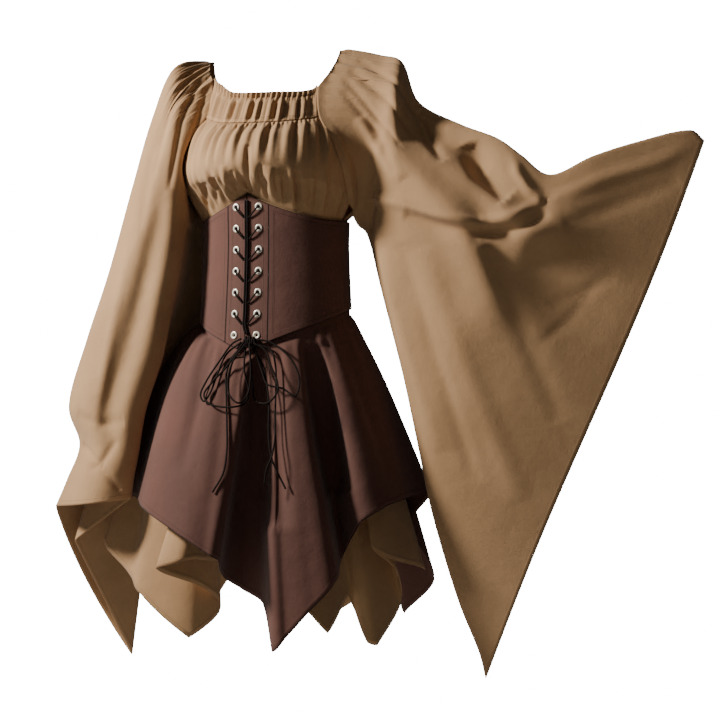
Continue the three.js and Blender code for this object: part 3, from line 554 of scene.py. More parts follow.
RIGHT_BACK_CREASES = [
    (-4, 7, [(-140, -40), (-168, -120), (-186, -230)]),
    (-4, 7, [(-120, -60), (-140, -150), (-150, -260)]),
    (5, 14, [(-180, -260), (-226, -460), (-262, -700)]),
    (-5, 12, [(-150, -300), (-196, -500), (-232, -760)]),
    (-4, 12, [(-236, -380), (-280, -560), (-304, -700)]),
]
BUST_CREASES = [
    (-6, 5, [(-39, -156), (-39, -228)]),
    (-3, 4, [(-63, -194), (-56, -233)]),
    (-3, 4, [(-16, -186), (-23, -234)]),
    (-4, 4, [(-93, -202), (-90, -248)]),
    (-4, 4, [(-110, -209), (-107, -259)]),
    (-4, 4, [(19, -194), (16, -248)]),
    (-4, 4, [(39, -197), (37, -256)]),
    (-3, 4, [(61, -209), (57, -265)]),
    (3, 5, [(-76, -186), (-72, -234)]),
    (3, 5, [(-1, -191), (-4, -240)]),
]
SKIRT_CREASES = [
    (-16, 20, [(-14, -475), (-4, -580), (10, -740)]),
    (-16, 19, [(62, -462), (82, -560), (104, -690)]),
    (-7, 8, [(-20, -470), (-30, -560), (-24, -700)]),
    (-6, 8, [(102, -440), (146, -560), (180, -660)]),
    (-5, 9, [(-96, -440), (-120, -560), (-140, -660)]),
    (3, 14, [(-80, -500), (-96, -600), (-104, -700)]),
]


def crease_height(points, creases):
    """Height of the creases at each point, fading out towards the ends of each crease."""
    shown = turned_back(points)[..., [0, 2]]
    total = np.zeros(points.shape[:-1])
    for high, half, line in creases:
        line = np.array(line, float)
        steps = length_of(np.diff(line, axis=0))
        run = np.concatenate([[0], np.cumsum(steps)])
        nearest = np.full(total.shape, np.inf)
        place = np.zeros(total.shape)
        for n, step in enumerate(steps):
            direction = (line[n + 1] - line[n]) / step
            along = np.clip(((shown - line[n]) * direction).sum(axis=-1), 0, step)
            away = length_of(shown - line[n] - direction * along[..., None])
            closer = away < nearest
            nearest = np.where(closer, away, nearest)
            place = np.where(closer, (run[n] + along) / run[-1], place)
        total += high * hump(nearest, 0, half) * np.clip(4 * place * (1 - place), 0, 1) ** 0.4
    return total


# Meshes
def normals_of(grid, closed):
    """Normals of a grid of points whose first index runs down and whose second runs around."""
    down = np.gradient(grid, axis=0)
    along = np.gradient(grid, axis=1)
    if closed:
        ends = grid[:, 1] - grid[:, -2]
        along[:, 0], along[:, -1] = ends, ends
    return unit(np.cross(down, along))


def mesh_object(name, points, faces, marks):
    """An object of points in millimetres, with vectors for the shaders at each point."""
    mesh = bpy.data.meshes.new(name)
    mesh.from_pydata((points * MM).tolist(), [], faces.tolist())
    mesh.polygons.foreach_set("use_smooth", np.ones(len(mesh.polygons), bool))
    for label, values in marks.items():
        layer = mesh.attributes.new(label, "FLOAT_VECTOR", "POINT")
        layer.data.foreach_set("vector", np.ascontiguousarray(values, np.float32).ravel())
    mesh.update()
    made = bpy.data.objects.new(name, mesh)
    bpy.context.scene.collection.objects.link(made)
    return made


def ring_faces(rings, sides, closed):
    """Four-sided faces between rings of points, and from the last ring to the first if closed."""
    k = np.arange(rings if closed else rings - 1)[:, None]
    i = np.arange(sides)[None]
    here, after, beyond = k * sides, (k + 1) % rings * sides, (i + 1) % sides
    return np.stack([here + i, here + beyond, after + beyond, after + i], axis=-1).reshape(-1, 4)


def running_length(grid, axis):
    steps = length_of(np.diff(grid, axis=axis))
    start = np.zeros_like(np.take(steps, [0], axis=axis))
    return np.concatenate([start, np.cumsum(steps, axis=axis)], axis=axis)


FAR = 999.0


def edge_marks(grid, stitched):
    """Distance in mm to the nearest stitched edge, and the distance along it."""
    u, v = running_length(grid, 1), running_length(grid, 0)
    sides = {"top": (v, u), "bottom": (v[-1:] - v, u), "left": (u, v), "right": (u[:, -1:] - u, v)}
    near, along = np.full(u.shape, FAR), u
    for side in stitched:
        distance, run = sides[side]
        closer = distance < near
        near, along = np.where(closer, distance, near), np.where(closer, run, along)
    return point(u, v, 0), point(near, along, 0)


def shell(name, grid, thickness, stitched, closed=False, reverse=False, holes=()):
    """A cloth wall: two faces a thickness apart, joined round their open edges."""
    if reverse:
        grid = grid[:, ::-1]
    weave, edge = edge_marks(grid, stitched)
    out = normals_of(grid, closed) * thickness / 2
    rows, columns = grid.shape[:2]
    index = np.arange(rows * columns).reshape(rows, columns)
    if closed:
        index[:, -1] = index[:, 0]
    inner = index + rows * columns
    a, b, c, d = index[:-1, :-1], index[1:, :-1], index[1:, 1:], index[:-1, 1:]
    front = np.stack([a, b, c, d], axis=-1).reshape(-1, 4)
    faces = [front, front[:, ::-1] + rows * columns]
    rims = [(index[0, 1:], index[0, :-1], inner[0, :-1], inner[0, 1:]),
            (index[-1, :-1], index[-1, 1:], inner[-1, 1:], inner[-1, :-1])]
    if not closed:
        rims.append((index[:-1, 0], index[1:, 0], inner[1:, 0], inner[:-1, 0]))
        rims.append((index[1:, -1], index[:-1, -1], inner[:-1, -1], inner[1:, -1]))
    faces += [np.stack(rim, axis=-1)[:, ::-1] for rim in rims]
    faces = np.concatenate(faces)
    points = np.concatenate([(grid + out).reshape(-1, 3), (grid - out).reshape(-1, 3)])
    middles = points[faces].mean(axis=1)
    for centre, axis, radius in holes:
        offset = middles - centre
        away = length_of(offset - (offset @ axis)[:, None] * axis)
        faces, middles = faces[away > radius], middles[away > radius]
    marks = {"weave": np.tile(weave.reshape(-1, 3), (2, 1)), "edge": np.tile(edge.reshape(-1, 3), (2, 1))}
    return mesh_object(name, points, faces, marks)


# Node helpers for the materials
def link_or_set(tree, socket, value):
    if isinstance(value, bpy.types.NodeSocket):
        tree.links.new(value, socket)
    else:
        socket.default_value = value


def node(tree, kind, inputs=None, **settings):
    made = tree.nodes.new("ShaderNode" + kind)
    for key, value in settings.items():
        setattr(made, key, value)
    for key, value in (inputs or {}).items():
        link_or_set(tree, made.inputs[key], value)
    return made


def calc(tree, operation, *values):
    return node(tree, "Math", dict(enumerate(values)), operation=operation).outputs[0]


def ranged(tree, value, low, high, to_low=0.0, to_high=1.0):
    inputs = {"Value": value, "From Min": low, "From Max": high, "To Min": to_low, "To Max": to_high}
    made = node(tree, "MapRange", inputs, interpolation_type="SMOOTHSTEP")
    return made.outputs["Result"]


def mixed(tree, factor, first, second, blend="MIX"):
    made = node(tree, "Mix", data_type="RGBA", blend_type=blend)
    for key, value in ((0, factor), (6, first), (7, second)):
        link_or_set(tree, made.inputs[key], value)
    return made.outputs[2]


def noise(tree, vector, scale, detail=3.0):
    return node(tree, "TexNoise", {"Vector": vector, "Scale": scale, "Detail": detail}).outputs[0]


def scaled(tree, vector, factors):
    made = node(tree, "VectorMath", {0: vector, 1: factors}, operation="MULTIPLY")
    return made.outputs[0]


def new_material(name):
    material = bpy.data.materials.new(name)
    material.use_nodes = True
    tree = material.node_tree
    return material, tree, tree.nodes["Principled BSDF"]


def plug(tree, shader, tone, bump, roughness):
    tree.links.new(tone, shader.inputs["Base Color"])
    tree.links.new(bump.outputs[0], shader.inputs["Normal"])
    tree.links.new(roughness, shader.inputs["Roughness"])


def attribute(tree, name):
    return node(tree, "Attribute", attribute_name=name, attribute_type="GEOMETRY").outputs["Vector"]


STITCH_AT = 8.0
STITCH_LENGTH = 3.2


def cloth_material(name, colour, deep, pitch, twill, stitch, sheen, painted_edge_shade):
    """Woven cloth: threads, slubs, soft mottling, painted shade at its sewn edges, a stitch line along them
    and its hem's step.
    """
    material, tree, shader = new_material(name)
    place = node(tree, "TexCoord").outputs["Object"]
    weave = attribute(tree, "weave")
    parts = node(tree, "SeparateXYZ", {0: weave})
    turn = 2 * np.pi / pitch
    second = calc(tree, "ADD", parts.outputs[1], parts.outputs[0]) if twill else parts.outputs[1]
    warp = calc(tree, "SINE", calc(tree, "MULTIPLY", parts.outputs[0], turn))
    weft = calc(tree, "SINE", calc(tree, "MULTIPLY", second, turn))
    threads = calc(tree, "MULTIPLY", warp, weft)
    slubs = calc(tree, "ADD", noise(tree, scaled(tree, weave, (0.9, 0.03, 0)), 1.0),
                 noise(tree, scaled(tree, weave, (0.03, 0.9, 0)), 1.0))
    mottle = noise(tree, place, 9.0, 5.0)
    rumple = noise(tree, place, 34.0, 4.0)
    fine = noise(tree, place, 160.0, 4.0)
    edge = node(tree, "SeparateXYZ", {0: attribute(tree, "edge")})
    near = edge.outputs[0]
    off_line = calc(tree, "ABSOLUTE", calc(tree, "SUBTRACT", near, STITCH_AT))
    dash = calc(tree, "SINE", calc(tree, "MULTIPLY", edge.outputs[1], 2 * np.pi / STITCH_LENGTH))
    line = calc(tree, "SUBTRACT", 1.0, ranged(tree, off_line, 0.35, 0.95))
    sewn = calc(tree, "MULTIPLY", line, ranged(tree, dash, -0.7, -0.2))
    # Painted shade along the sewn edges: a mask that is 1 at the edge and fades out 2.2 mm in
    seam = calc(tree, "SUBTRACT", 1.0, ranged(tree, near, 0.2, 2.2))
    tone = mixed(tree, ranged(tree, mottle, 0.3, 0.75), deep, colour)
    tone = mixed(tree, ranged(tree, slubs, 0.8, 1.25, 0.0, 0.22), tone, colour)
    tone = mixed(tree, ranged(tree, fine, 0.35, 0.8, 0.0, 0.12), tone, deep)
    tone = mixed(tree, calc(tree, "MULTIPLY", calc(tree, "ADD", threads, 1.0), 0.05), tone, deep)
    # Painted shade: the colour is darkened at the sewn edges by this mask times painted_edge_shade
    tone = mixed(tree, calc(tree, "MULTIPLY", seam, painted_edge_shade), tone, deep, "MULTIPLY")
    tone = mixed(tree, calc(tree, "MULTIPLY", sewn, 0.75), tone, stitch)
    height = calc(tree, "MULTIPLY", threads, 0.05)
    step = ranged(tree, near, STITCH_AT + 1, STITCH_AT + 2)
    for layer, high in ((slubs, 0.12), (fine, 0.3), (rumple, 2.2), (line, -0.35), (sewn, 0.25), (step, -0.3)):
        height = calc(tree, "MULTIPLY_ADD", layer, high, height)
    bump = node(tree, "Bump", {"Height": height, "Strength": 0.7, "Distance": MM})
    plug(tree, shader, tone, bump, ranged(tree, mottle, 0.2, 0.8, 0.78, 0.94))
    shader.inputs["Specular IOR Level"].default_value = 0.22
    shader.inputs["Sheen Weight"].default_value = sheen
    shader.inputs["Sheen Roughness"].default_value = 0.5
    return material


# Cord colours: painted shade between the yarns, painted light on their tops, and a lighter worn tone
CORD_PAINTED_SHADE, CORD_PAINTED_LIGHT = (0.002, 0.0012, 0.001, 1), (0.012, 0.006, 0.0045, 1)
CORD_WORN = (0.018, 0.009, 0.007, 1)
YARN_TURN = 3.4
METAL, METAL_DULL = (0.93, 0.89, 0.79, 1), (0.68, 0.62, 0.5, 1)


def cord_material():
    """Braided cord, near black: two sets of yarns that cross round it, with painted shade between the yarns
    and painted light on their tops.
    """
    material, tree, shader = new_material("cord_braid")
    parts = node(tree, "SeparateXYZ", {0: attribute(tree, "weave")})
    along, around = parts.outputs[0], parts.outputs[1]
    crossing = [calc(tree, way, along, around) for way in ("ADD", "SUBTRACT")]
    waves = [calc(tree, "SINE", calc(tree, "MULTIPLY", run, YARN_TURN)) for run in crossing]
    yarns = calc(tree, "MAXIMUM", *waves)
    wear = noise(tree, node(tree, "TexCoord").outputs["Object"], 60.0)
    # Painted shade and light: the colour goes from the shaded tone to the lit tone as the yarns rise
    tone = mixed(tree, ranged(tree, yarns, -0.2, 1.0), CORD_PAINTED_SHADE, CORD_PAINTED_LIGHT)
    tone = mixed(tree, ranged(tree, wear, 0.45, 0.8, 0.0, 0.5), tone, CORD_WORN)
    bump = node(tree, "Bump", {"Height": yarns, "Strength": 0.6, "Distance": 0.25 * MM})
    plug(tree, shader, tone, bump, ranged(tree, wear, 0.3, 0.8, 0.65, 0.85))
    shader.inputs["Specular IOR Level"].default_value = 0.15
    return material


def eyelet_material():
    """Pressed metal with a pale warm plating, a little dulled and scratched."""
    material, tree, shader = new_material("eyelet_metal")
    place = node(tree, "TexCoord").outputs["Object"]
    dull = noise(tree, place, 400.0, 4.0)
    scratches = noise(tree, scaled(tree, place, (900.0, 900.0, 90.0)), 1.0, 2.0)
    tone = mixed(tree, ranged(tree, dull, 0.3, 0.8), METAL, METAL_DULL)
    bump = node(tree, "Bump", {"Height": scratches, "Strength": 0.3, "Distance": 0.1 * MM})
    plug(tree, shader, tone, bump, ranged(tree, dull, 0.3, 0.8, 0.25, 0.45))
    shader.inputs["Metallic"].default_value = 0.35
    return material


TAN = (0.47, 0.285, 0.145, 1)
TAN_DEEP = (0.38, 0.222, 0.108, 1)
TAN_THREAD = (0.27, 0.155, 0.07, 1)
BROWN = (0.13, 0.058, 0.044, 1)
BROWN_DEEP = (0.095, 0.041, 0.031, 1)
BROWN_THREAD = (0.05, 0.022, 0.016, 1)
# The last number is how deep the painted shade along the sewn edges goes
cotton = cloth_material("cotton_tan", TAN, TAN_DEEP, 0.7, False, TAN_THREAD, 0.12, 0.3)
twill = cloth_material("twill_brown", BROWN, BROWN_DEEP, 1.0, True, BROWN_THREAD, 0.1, 0.85)
braid = cord_material()
plated = eyelet_material()


def place_piece(piece, material, slot, *nodes):
    piece.data.materials.append(material)
    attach(piece, "root")
    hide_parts(*nodes)
    return piece


# Blouse
yoke = shell("cloth_yoke_front", blouse_front(0, YOKE_SEAM, 300, 36, yoke_pattern), COTTON, ["bottom"])
place_piece(yoke, cotton, "cotton", "yoke_front")

FRONT_START = 0.236
front_grid = blouse_front(FRONT_START, 1, 300, 80, front_pattern)
front_down = np.linspace(FRONT_START, 1, 81)[:, None]
bust = crease_height(front_grid, BUST_CREASES) * (1 - smoothstep(front_down, 0.88, TUCK_START))
front_grid = front_grid + normals_of(front_grid, False) * bust[..., None]
bodice_front = shell("cloth_bodice_front", front_grid, COTTON, [])
place_piece(bodice_front, cotton, "cotton", "bodice_front")

bodice_back = shell("cloth_bodice_back", blouse_back(200, 80), COTTON, ["top"])
place_piece(bodice_back, cotton, "cotton", "bodice_back")


def sleeve(name, side, row_of, rows, front_creases, back_creases, front_share, stops):
    """Columns are closer together on the front, and creases die out at the folds between the layers."""
    front_columns, back_columns, down_rows = 200, 80, 144
    around = np.concatenate([
        np.linspace(0, front_share, front_columns + 1)[:-1],
        np.linspace(front_share, 1, back_columns + 1),
    ])
    around, place = np.meshgrid(around, np.linspace(0, 1, down_rows + 1) ** 1.15)
    grid = sleeve_grid(side, row_of, rows, around, place)
    out = normals_of(grid, True) * -side
    front = band(around, 0, 0.04, stops[0] - 0.04, stops[0])
    back = band(around, stops[1], stops[1] + 0.05, 0.95, 1)
    calm = smoothstep(place, 0, 0.03)
    lift = crease_height(grid, front_creases) * front + crease_height(grid, back_creases) * back
    grid = grid + out * (lift * calm)[..., None]
    made = shell(name, grid, COTTON, ["bottom"], closed=True, reverse=side > 0)
    return place_piece(made, cotton, "cotton", name.replace("cloth_", ""))


sleeve_left = sleeve("cloth_sleeve_left", 1, left_sleeve_row, LEFT_SLEEVE, LEFT_FRONT_CREASES,
                     LEFT_BACK_CREASES, 0.5, (0.5, 0.5))
sleeve_right = sleeve("cloth_sleeve_right", -1, right_sleeve_row, RIGHT_SLEEVE, RIGHT_FRONT_CREASES,
                      RIGHT_BACK_CREASES, 0.42, (0.42, 0.64))


# Skirts
SKIRT_WAVES, SKIRT_RIPPLES, WAIST_GATHERS = 7, 17, 41
FRONT_COSINE = 0.1


def skirt(name, table, inset, thickness, material, slot, creases):
    """The creases are laid on the front alone, and the underskirt takes only those that go in."""
    grid, angle, down = skirt_grid(table, inset, 8, 60)
    drape = sine(angle * SKIRT_WAVES + 40) + 0.6 * sine(angle * SKIRT_RIPPLES) * (1 - down)
    swell = 1.8 * drape * smoothstep(down, 0.1, 0.5) * (1 - 0.5 * smoothstep(down, 0.8, 1))
    gather = 1.1 * sine(angle * WAIST_GATHERS) * band(down, TUCKED, 0.06, 0.1, 0.4)
    swell = swell + gather + crease_height(grid, creases) * (cosine(angle) > FRONT_COSINE)
    grid = grid + normals_of(grid, True) * swell[..., None]
    made = shell(name, grid, thickness, ["bottom"], closed=True)
    return place_piece(made, material, slot, name.replace("cloth_", ""))


overskirt = skirt("cloth_overskirt", OVERSKIRT_HEM, OVER_INSET, TWILL, twill, "twill", SKIRT_CREASES)
underskirt = skirt("cloth_underskirt", UNDERSKIRT_HEM, UNDER_INSET, COTTON, cotton, "cotton",
                   [row for row in SKIRT_CREASES if row[0] < 0])

# Eyelets and the laced bodice's panels
EYELET_ROWS, EYELET_TOP, EYELET_PITCH, EYELET_OFF_CENTRE = 7, -248, 33.3, 20
EYELET_CUT = 4.3
PLACKET_HALF_ANGLE = 17
SIDE_ANGLE = 97
# Half of the gap between two panels, in degrees round the waist
PANEL_HALF_GAP = np.degrees(0.15 / 110) + 0.03


def eyelet_frame(side, row):
    z = np.array(EYELET_TOP - row * EYELET_PITCH, float)
    angle = side * np.degrees(np.arcsin(EYELET_OFF_CENTRE / table_at(BODICE_GIRTH, z)[0]))
    wall = BODICE_WALL / 2
    beside = girth_point(angle + 1, z, wall) - girth_point(angle - 1, z, wall)
    below = girth_point(angle, z - 2, wall) - girth_point(angle, z + 2, wall)
    return girth_point(angle, z, wall), unit(np.cross(below, beside))


def bodice_panel(name, start, end, columns, rows, stitched, holes=()):
    across, share = grid_of(columns, rows)
    angle = lerp(start + PANEL_HALF_GAP, end - PANEL_HALF_GAP, across)
    z = lerp(bodice_top(angle), bodice_bottom(angle), share)
    pull = 0.35 * np.sin(z * 0.11 + angle * 0.05) * np.sin(np.pi * across) * np.sin(np.pi * share)
    grid = pushed_out(girth_point(angle, z, 0), pull)
    panel = shell(name, grid, BODICE_WALL, stitched, holes=holes)
    return place_piece(panel, twill, "twill", name.replace("cloth_", ""))


def holes_of(side):
    return [(*eyelet_frame(side, row), EYELET_CUT) for row in range(EYELET_ROWS)]


ALL_ROUND = ["top", "bottom", "left", "right"]
placket_left = bodice_panel("cloth_placket_left", 0, PLACKET_HALF_ANGLE, 40, 240, ALL_ROUND, holes_of(1))
placket_right = bodice_panel("cloth_placket_right", -PLACKET_HALF_ANGLE, 0, 40, 240, ALL_ROUND, holes_of(-1))
side_left = bodice_panel("cloth_corset_side_left", PLACKET_HALF_ANGLE, SIDE_ANGLE, 100, 70, ALL_ROUND)
side_right = bodice_panel("cloth_corset_side_right", -SIDE_ANGLE, -PLACKET_HALF_ANGLE, 100, 70, ALL_ROUND)
corset_back = bodice_panel("cloth_corset_back", SIDE_ANGLE, 360 - SIDE_ANGLE, 160, 60, ALL_ROUND)

# Profile of an eyelet: radius and height over the cloth, from the barrel's end round the rolled flange
EYELET_PROFILE = [
    (2.6, -3), (3.1, -3), (3.1, 0.3), (4.2, 0.45), (5.4, 0.35), (6.1, 0.5), (6.0, 0.95), (5.3, 1.35),
    (4.4, 1.5), (3.5, 1.35), (2.9, 0.95), (2.65, 0.4), (2.6, -1),
]
EYELET_SIDES = 40


def eyelet(name, centre, axis):
    beside = unit(np.cross(axis, np.array([0, 0, 1.0])))
    above = np.cross(beside, axis)
    turn = np.linspace(0, 2 * np.pi, EYELET_SIDES, endpoint=False)
    ring = np.cos(turn)[:, None] * beside + np.sin(turn)[:, None] * above
    profile = np.array(EYELET_PROFILE)
    points = centre + profile[:, None, :1] * ring[None] + profile[:, None, 1:] * axis
    faces = ring_faces(len(profile), EYELET_SIDES, True)[:, [0, 3, 2, 1]]
    made = mesh_object("metal_" + name, points.reshape(-1, 3), faces, {})
    return place_piece(made, plated, "eyelet", name)


for label, side in (("left", 1), ("right", -1)):
    for row in range(EYELET_ROWS):
        eyelet(f"eyelet_{label}_{row + 1}", *eyelet_frame(side, row))

# Cords
STRAND, CENTRE_CORD, BOW_CORD = 2.6, 3.2, 2.9
LACE_DROP, LACE_SHIFT = 17, 4
# Where a strand ends beside the centre cord, and how it stands off the wall there, at its eyelet and between
LACE_END_ANGLE, LACE_END_LIFT, LACE_RISE, LACE_ARCH = 2.1, 2.2, 4.2, 0.9
CENTRE_LIFT, CENTRE_HALF_GAP = 0.6, 0.25


def cord_path(points, spacing=2.0):
    """Points close together on the smooth curve through a cord's route."""
    points = np.array(points, float)
    points = np.concatenate([[2 * points[0] - points[1]], points, [2 * points[-1] - points[-2]]])
    out = []
    for p0, p1, p2, p3 in zip(points, points[1:], points[2:], points[3:]):
        t0, t1, t2 = (np.sqrt(length_of(b - a)) for a, b in ((p0, p1), (p1, p2), (p2, p3)))
        m1 = ((p1 - p0) / t0 - (p2 - p0) / (t0 + t1) + (p2 - p1) / t1) * t1
        m2 = ((p2 - p1) / t1 - (p3 - p1) / (t1 + t2) + (p3 - p2) / t2) * t1
        count = max(2, int(round(length_of(p2 - p1) / spacing)))
        out += [hermite(p1, m1, p2, m2, f) for f in np.arange(count) / count]
    return np.array([*out, points[-2]])


TUBE_SIDES = 12


def tube(path, diameter, closed=False):
    """Points, faces and braid marks of a round cord along a path, in millimetres."""
    heading = unit(np.gradient(path, axis=0))
    if closed:
        heading = unit(np.roll(path, -1, axis=0) - np.roll(path, 1, axis=0))
    side = unit(np.cross(heading[0], np.array([0.13, 0.29, 0.95])))
    turn = np.linspace(0, 2 * np.pi, TUBE_SIDES, endpoint=False)
    rings = []
    for centre, ahead in zip(path, heading):
        side = unit(side - ahead * (side @ ahead))
        up = np.cross(ahead, side)
        rings.append(centre + diameter / 2 * (np.cos(turn)[:, None] * side + np.sin(turn)[:, None] * up))
    points = np.array(rings).reshape(-1, 3)
    run = np.concatenate([[0], np.cumsum(length_of(np.diff(path, axis=0)))])
    marks = point(np.repeat(run, TUBE_SIDES), np.tile(turn * diameter / 2, len(path)), 0)
    return points, ring_faces(len(path), TUBE_SIDES, closed), marks


def cap_faces(count):
    """Fans of four-sided faces that close both ends of a tube."""
    last = (count - 1) * TUBE_SIDES
    half = TUBE_SIDES // 2
    first = [(n, n + 1, TUBE_SIDES - 2 - n, TUBE_SIDES - 1 - n) for n in range(half - 1)]
    return np.array([face[::-1] for face in first] + [tuple(last + n for n in face) for face in first])


def cord_piece(name, path, diameter):
    points, faces, marks = tube(path, diameter)
    faces = np.concatenate([faces, cap_faces(len(path))])
    return place_piece(mesh_object("cord_" + name, points, faces, {"weave": marks}), braid, "cord", name)


def lace_strand(side, row):
    centre, out = eyelet_frame(side, row)
    end = girth_point(np.array(side * LACE_END_ANGLE), centre[2] - LACE_DROP, BODICE_WALL / 2 + LACE_END_LIFT)
    start = centre - out
    risen = centre + LACE_RISE * out
    over = lerp(risen, end, 0.45) + LACE_ARCH * out
    return cord_path([start, risen - out, over, end], 1.0)


def centre_cord(side):
    z = np.array([-238, -275, -310, -345, -380, -412, -434, -446], float)
    along = girth_point(np.zeros_like(z), z, (BODICE_WALL + CENTRE_CORD) / 2 + CENTRE_LIFT)
    along[:, 0] += LACE_SHIFT * smoothstep(-z, 434, 446) + side * (CENTRE_CORD / 2 + CENTRE_HALF_GAP)
    return cord_path(along)


for label, side in (("left", 1), ("right", -1)):
    for row in range(EYELET_ROWS - 1):
        cord_piece(f"lace_{label}_{row + 1}", lace_strand(side, row), STRAND)
    cord_piece(f"lace_centre_{label}", centre_cord(side), CENTRE_CORD)


def front_wall(z):
    """The outermost wall at a height, over the front: the bodice, or the overskirt below it."""
    angle = np.arange(-50.0, 51.0, 2.0)
    top = bodice_bottom(angle) - SKIRT_CALM
    down = lerp(TUCKED, 1, np.clip((z - top) / (hem_at(OVERSKIRT_HEM, angle)[2] - top), 0, 1))
    low = skirt_points(OVERSKIRT_HEM, angle, down, OVER_INSET + TWILL / 2)
    return np.where((z > bodice_bottom(angle))[:, None], girth_point(angle, z, BODICE_WALL / 2), low)


def gown_front(across, z):
    """How far toward the front of the show frame the gown reaches at a point across and up."""
    wall = turned_back(front_wall(float(z)))
    a, b = wall[:-1], wall[1:]
    crossed = (a[:, 0] - across) * (b[:, 0] - across) <= 0
    share = (across - a[:, 0]) / (b[:, 0] - a[:, 0])
    return lerp(a[:, 1], b[:, 1], share)[crossed].max()


# Bow: loops and tails, from where they leave the knot round their way across and up, standing off
# the gown by a lift. A knot end is its direction round the knot and how far it is turned forward.
KNOT_ACROSS, KNOT_Z, KNOT_LIFT = -37, -457, 0.7
KNOT_HALF = np.array([14, 4.5, 8.5])
BOW = [
    ("bow_loop_right_outer", (12, 0), (-55, 0), [(-4, -459, 7), (25, -481, 8), (39, -504, 8), (42, -522, 8),
     (36, -541, 8), (16, -530, 9), (-7, -524, 11), (-17, -503, 10)]),
    ("bow_loop_right_inner", (-25, 40), (-80, 35), [(-12, -471, 12), (-2, -496, 12), (8, -520, 14),
     (8, -535, 14), (-1, -548, 12), (-13, -553, 12), (-28, -547, 12), (-31, -522, 12)]),
    ("bow_loop_left_outer", (160, 0), (190, 0), [(-64, -461, 8), (-84, -488, 8), (-104, -520, 8),
     (-112, -540, 8), (-106, -550, 8), (-97, -538, 8), (-88, -513, 8), (-73, -477, 8)]),
    ("bow_loop_left_large", (212, 45), (247, 25), [(-72, -497, 12), (-93, -520, 12), (-106, -539, 12),
     (-98, -553, 12), (-80, -558, 12), (-58, -558, 12), (-43, -553, 12), (-37, -538, 12), (-44, -500, 12)]),
    ("bow_loop_left_inner", (240, 62), (300, 62), [(-62, -488, 16), (-69, -520, 16), (-65, -541, 16),
     (-52, -552, 16), (-39, -541, 16), (-34, -514, 16)]),
    ("bow_tail_left", (218, -8), None, [(-64, -482, 4.5), (-72, -505, 4), (-71, -545, 4), (-69, -583, 4),
     (-68, -627, 4), (-73, -659, 4), (-88, -686, 4)]),
    ("bow_tail_right_long", (-75, -8), None, [(-16, -494, 4), (-9, -523, 4), (-5, -557, 4), (-5, -601, 4),
     (0, -635, 4), (9, -656, 4), (22, -681, 4)]),
    ("bow_tail_right_short", (-35, -8), None, [(-4, -470, 5), (4, -492, 4), (5, -560, 4), (5, -604, 6),
     (0, -635, 12), (-7, -652, 22), (-10, -673, 34)]),
]
knot_centre = turned(KNOT_ACROSS, gown_front(KNOT_ACROSS, KNOT_Z) + KNOT_HALF[1] + KNOT_LIFT, KNOT_Z)


def leave_knot(end, after):
    """Where a cord leaves the knot, just clear of its surface, heading for the next point of its route."""
    level, lean = np.radians(end)
    way = np.array([np.cos(level) * np.cos(lean), -np.sin(lean), np.sin(level) * np.cos(lean)])
    start = knot_centre + way * KNOT_HALF
    normal = unit(way / KNOT_HALF)
    heading = unit(after - start)
    slant = np.sqrt(1 - min(1, (normal @ heading) ** 2))
    return start + normal * (CLEAR + BOW_CORD / 2 * slant)


def bow_path(start, end, route):
    points = [turned(across, gown_front(across, z) + lift, z) for across, z, lift in route]
    points.insert(0, leave_knot(start, points[0]))
    if end:
        points.append(leave_knot(end, points[-1]))
    return cord_path(points)


for name, start, end, route in BOW:
    path = bow_path(start, end, route)
    piece = cord_piece(name, path, BOW_CORD)


# Turns of the knot: place across, tilt and size beside the knot's form. Cords over it: height and side
KNOT_TURNS = [
    (-8, 0.25, 0.72), (-4.5, -0.15, 0.92), (-1, 0.1, 1), (3, -0.2, 0.98), (6.5, 0.2, 0.84), (10, -0.1, 0.6),
]
KNOT_WRAPS = [(2.4, 1), (-2.6, 1), (0, -1)]


def knot():
    """Turns of the cord wound over each other, filling the knot's form."""
    turn = np.linspace(0, 2 * np.pi, 48, endpoint=False)
    parts = []
    for shift, tilt, size in KNOT_TURNS:
        half = (KNOT_HALF - BOW_CORD / 2) * size
        loop = point(shift + tilt * 8 * np.sin(turn), -half[1] * np.cos(turn), half[2] * np.sin(turn))
        parts.append(tube(knot_centre + loop, BOW_CORD, closed=True))
    across = np.linspace(-1, 1, 25)
    for high, side in KNOT_WRAPS:
        arc = point(across * 10, -side * 2.2 * (1 - across ** 2), high * (1 - 0.5 * across ** 2))
        parts.append(tube(knot_centre + arc, BOW_CORD))
    points, faces, marks = zip(*parts)
    before = np.cumsum([0, *(len(part) for part in points[:-1])])
    faces = np.concatenate([part + count for part, count in zip(faces, before)])
    marks = {"weave": np.concatenate(marks)}
    made = mesh_object("cord_bow_knot", np.concatenate(points), faces, marks)
    return place_piece(made, braid, "cord", "bow_knot")


knot()


# Floor, light and camera
def aimed(made, location, target):
    made.location = location
    made.rotation_euler = (Vector(target) - Vector(location)).to_track_quat("-Z", "Y").to_euler()
    bpy.context.scene.collection.objects.link(made)
    return made


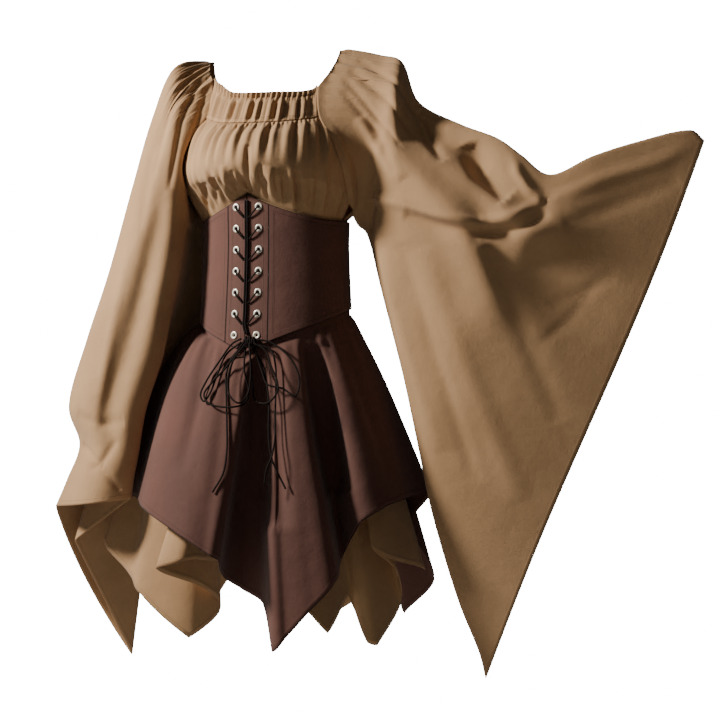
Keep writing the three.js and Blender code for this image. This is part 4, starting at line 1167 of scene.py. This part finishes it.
def area_light(name, location, target, size, power, colour):
    data = bpy.data.lights.new(name, "AREA")
    data.shape = "DISK"
    data.size = size
    data.energy = power
    data.color = colour
    return aimed(bpy.data.objects.new(name, data), location, target)


CAMERA_AT = (1.4818, -2.612, -0.4864)
CAMERA_TARGET = (0.1198, 0.061, -0.4864)
camera_data = bpy.data.cameras.new("camera")
camera_data.lens = 93.75
camera_data.sensor_width = 36
camera = aimed(bpy.data.objects.new("camera", camera_data), CAMERA_AT, CAMERA_TARGET)
bpy.context.scene.camera = camera

area_light("key", (-1.14, -1.0, 0.45), (0.05, -0.02, -0.42), 0.3, 66, (1, 0.96, 0.9))
area_light("fill", (0.6, -2.7, 1.2), (0.1, 0, -0.5), 1.2, 1.8, (1, 0.97, 0.93))
side_lamp = area_light("side", (1.3, -1.02, 0.3), (0.62, 0.13, -0.16), 0.3, 0.12, (1, 0.97, 0.92))
side_lamp.data.spread = np.radians(50)

ROOM_LIGHT, BACKDROP = 0.05, 20.0
world = bpy.data.worlds.new("studio")
bpy.context.scene.world = world
world.use_nodes = True
tree = world.node_tree
ground = tree.nodes["Background"]
ground.inputs["Color"].default_value = (1, 1, 1, 1)
seen = node(tree, "LightPath").outputs["Is Camera Ray"]
tree.links.new(ranged(tree, seen, 0, 1, ROOM_LIGHT, BACKDROP), ground.inputs["Strength"])

FLOOR_HEIGHT, FLOOR_RADIUS, FLOOR_SIDES = -1400, 1500, 64
floor_ring = np.linspace(0, 2 * np.pi, FLOOR_SIDES, endpoint=False)
floor_points = point(FLOOR_RADIUS * np.cos(floor_ring), FLOOR_RADIUS * np.sin(floor_ring), FLOOR_HEIGHT)
floor = mesh_object("floor", floor_points, np.arange(FLOOR_SIDES)[None], {})
floor_material, floor_tree, floor_shader = new_material("floor_paper")
paper = noise(floor_tree, node(floor_tree, "TexCoord").outputs["Object"], 30.0)
floor_tone = mixed(floor_tree, paper, (0.8, 0.79, 0.77, 1), (0.74, 0.73, 0.71, 1))
floor_tree.links.new(floor_tone, floor_shader.inputs["Base Color"])
floor.data.materials.append(floor_material)
